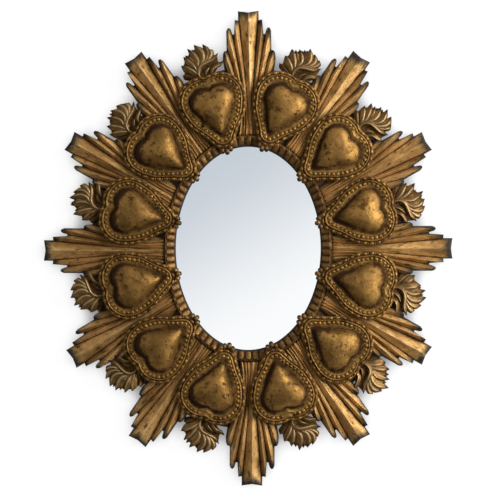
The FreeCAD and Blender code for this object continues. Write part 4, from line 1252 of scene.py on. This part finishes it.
# %% [markdown]
# ## The lamps and the studio
# Gold shows its shape by what it reflects. The light comes softly from the right, so each carving is
# bright on that side and dark on the other. Many small lamps could model this, but they leave hard spots
# on metal. So one tall soft lamp gives the direction, and the world is a plain studio: brighter to both
# sides and above, dark below. A second lamp behind the wall is for views of the back. Straight ahead of
# the glass lies a pale field, which is what the mirror shows.

# %% The lamps


def lamp(name, place, width, height, watts):
    """A soft rectangular lamp that looks at the mirror's middle."""
    data = bpy.data.lights.new(name, "AREA")
    data.shape = "RECTANGLE"
    data.size = width
    data.size_y = height
    data.energy = watts
    made = bpy.data.objects.new(name, data)
    made.location = place
    made.rotation_mode = "QUATERNION"
    made.rotation_quaternion = (-Vector(place)).to_track_quat("-Z", "Y")
    bpy.context.scene.collection.objects.link(made)


lamp("key_lamp", (1.0, -0.7, 0.3), width=0.5, height=1.4, watts=22.0)
lamp("back_lamp", (-1.2, 2.4, 1.6), width=1.2, height=1.2, watts=70.0)
print("lamps:", len(bpy.data.lights))

# %% What the studio looks like
world = bpy.data.worlds.new("studio")
bpy.context.scene.world = world
world.use_nodes = True
tree = world.node_tree
tree.nodes.clear()
direction = tree.nodes.new("ShaderNodeSeparateXYZ")
tree.links.new(tree.nodes.new("ShaderNodeTexCoord").outputs["Generated"], direction.inputs[0])
right, away, up = (direction.outputs[axis] for axis in "XYZ")


def tilted(kind, value, share, other):
    """A share of one direction, with another added or taken away."""
    return sums(tree, kind, sums(tree, "MULTIPLY", value, share), other)


sky = blend(tree, between(tree, up, -0.2, 0.8), rgb(14, 13, 12), rgb(138, 138, 140))
sky = blend(tree, between(tree, tilted("SUBTRACT", up, 0.3, right), 0.2, 1.0), sky, rgb(218, 218, 220))
sky = blend(tree, between(tree, tilted("ADD", up, 0.5, right), 0.1, 1.0), sky, rgb(232, 232, 234))
slope = sums(tree, "SUBTRACT", up, sums(tree, "MULTIPLY", right, 0.6))
field = blend(tree, between(tree, slope, -0.05, 0.06), rgb(255, 255, 255), rgb(201, 208, 216))
studio = blend(tree, between(tree, away, -0.985, -0.93, 1.0, 0.0), sky, field)
print("studio nodes:", len(tree.nodes))

# %% [markdown]
# ## The white round the mirror
# The photograph's background is plain white. More light would wash out the gold. So the world shows white
# only to the camera, to rays that pass through something, and to reflections that look back towards the
# wall. Reflections that leave the front see the studio, which is what gives the gold its lights and
# darks.

# %% The white of the world
kinds = tree.nodes.new("ShaderNodeLightPath").outputs
fill = tree.nodes.new("ShaderNodeBackground")
fill.inputs["Strength"].default_value = 1.0
tree.links.new(studio, fill.inputs["Color"])
white = tree.nodes.new("ShaderNodeBackground")
white.inputs["Color"].default_value = (1.0, 1.0, 1.0, 1.0)
towards_wall = sums(tree, "MULTIPLY", kinds["Is Glossy Ray"], between(tree, away, 0.0, 0.2))
shown = sums(tree, "MAXIMUM", kinds["Is Camera Ray"], kinds["Is Transmission Ray"])
shown = sums(tree, "MAXIMUM", shown, towards_wall)
choice = tree.nodes.new("ShaderNodeMixShader")
tree.links.new(shown, choice.inputs[0])
tree.links.new(fill.outputs[0], choice.inputs[1])
tree.links.new(white.outputs[0], choice.inputs[2])
tree.links.new(choice.outputs[0], tree.nodes.new("ShaderNodeOutputWorld").inputs["Surface"])
print("world nodes:", len(tree.nodes))

# %% [markdown]
# ## The camera
# The photograph is taken square on and shows almost no perspective. An orthographic camera would do from
# the front, but not from other angles. So a long lens stands straight in front, and its frame covers 800
# mm at the depth of the rays, with the mirror a little off its middle as in the photograph.

# %% The camera
CAMERA_DISTANCE, CAMERA_ACROSS, CAMERA_UP = 3.2, 0.0029, -0.0027
FRAME_HALF, FRAME_DEPTH = 0.4, 0.034
camera_data = bpy.data.cameras.new("camera")
camera_data.lens = camera_data.sensor_width / 2 * (CAMERA_DISTANCE - FRAME_DEPTH) / FRAME_HALF
camera = bpy.data.objects.new("camera", camera_data)
camera.location = (CAMERA_ACROSS, -CAMERA_DISTANCE, CAMERA_UP)
camera.rotation_euler = (math.radians(90.0), 0.0, 0.0)
bpy.context.scene.collection.objects.link(camera)
bpy.context.scene.camera = camera
bpy.context.scene.view_settings.view_transform = "Standard"
print("lens:", round(camera_data.lens, 1))
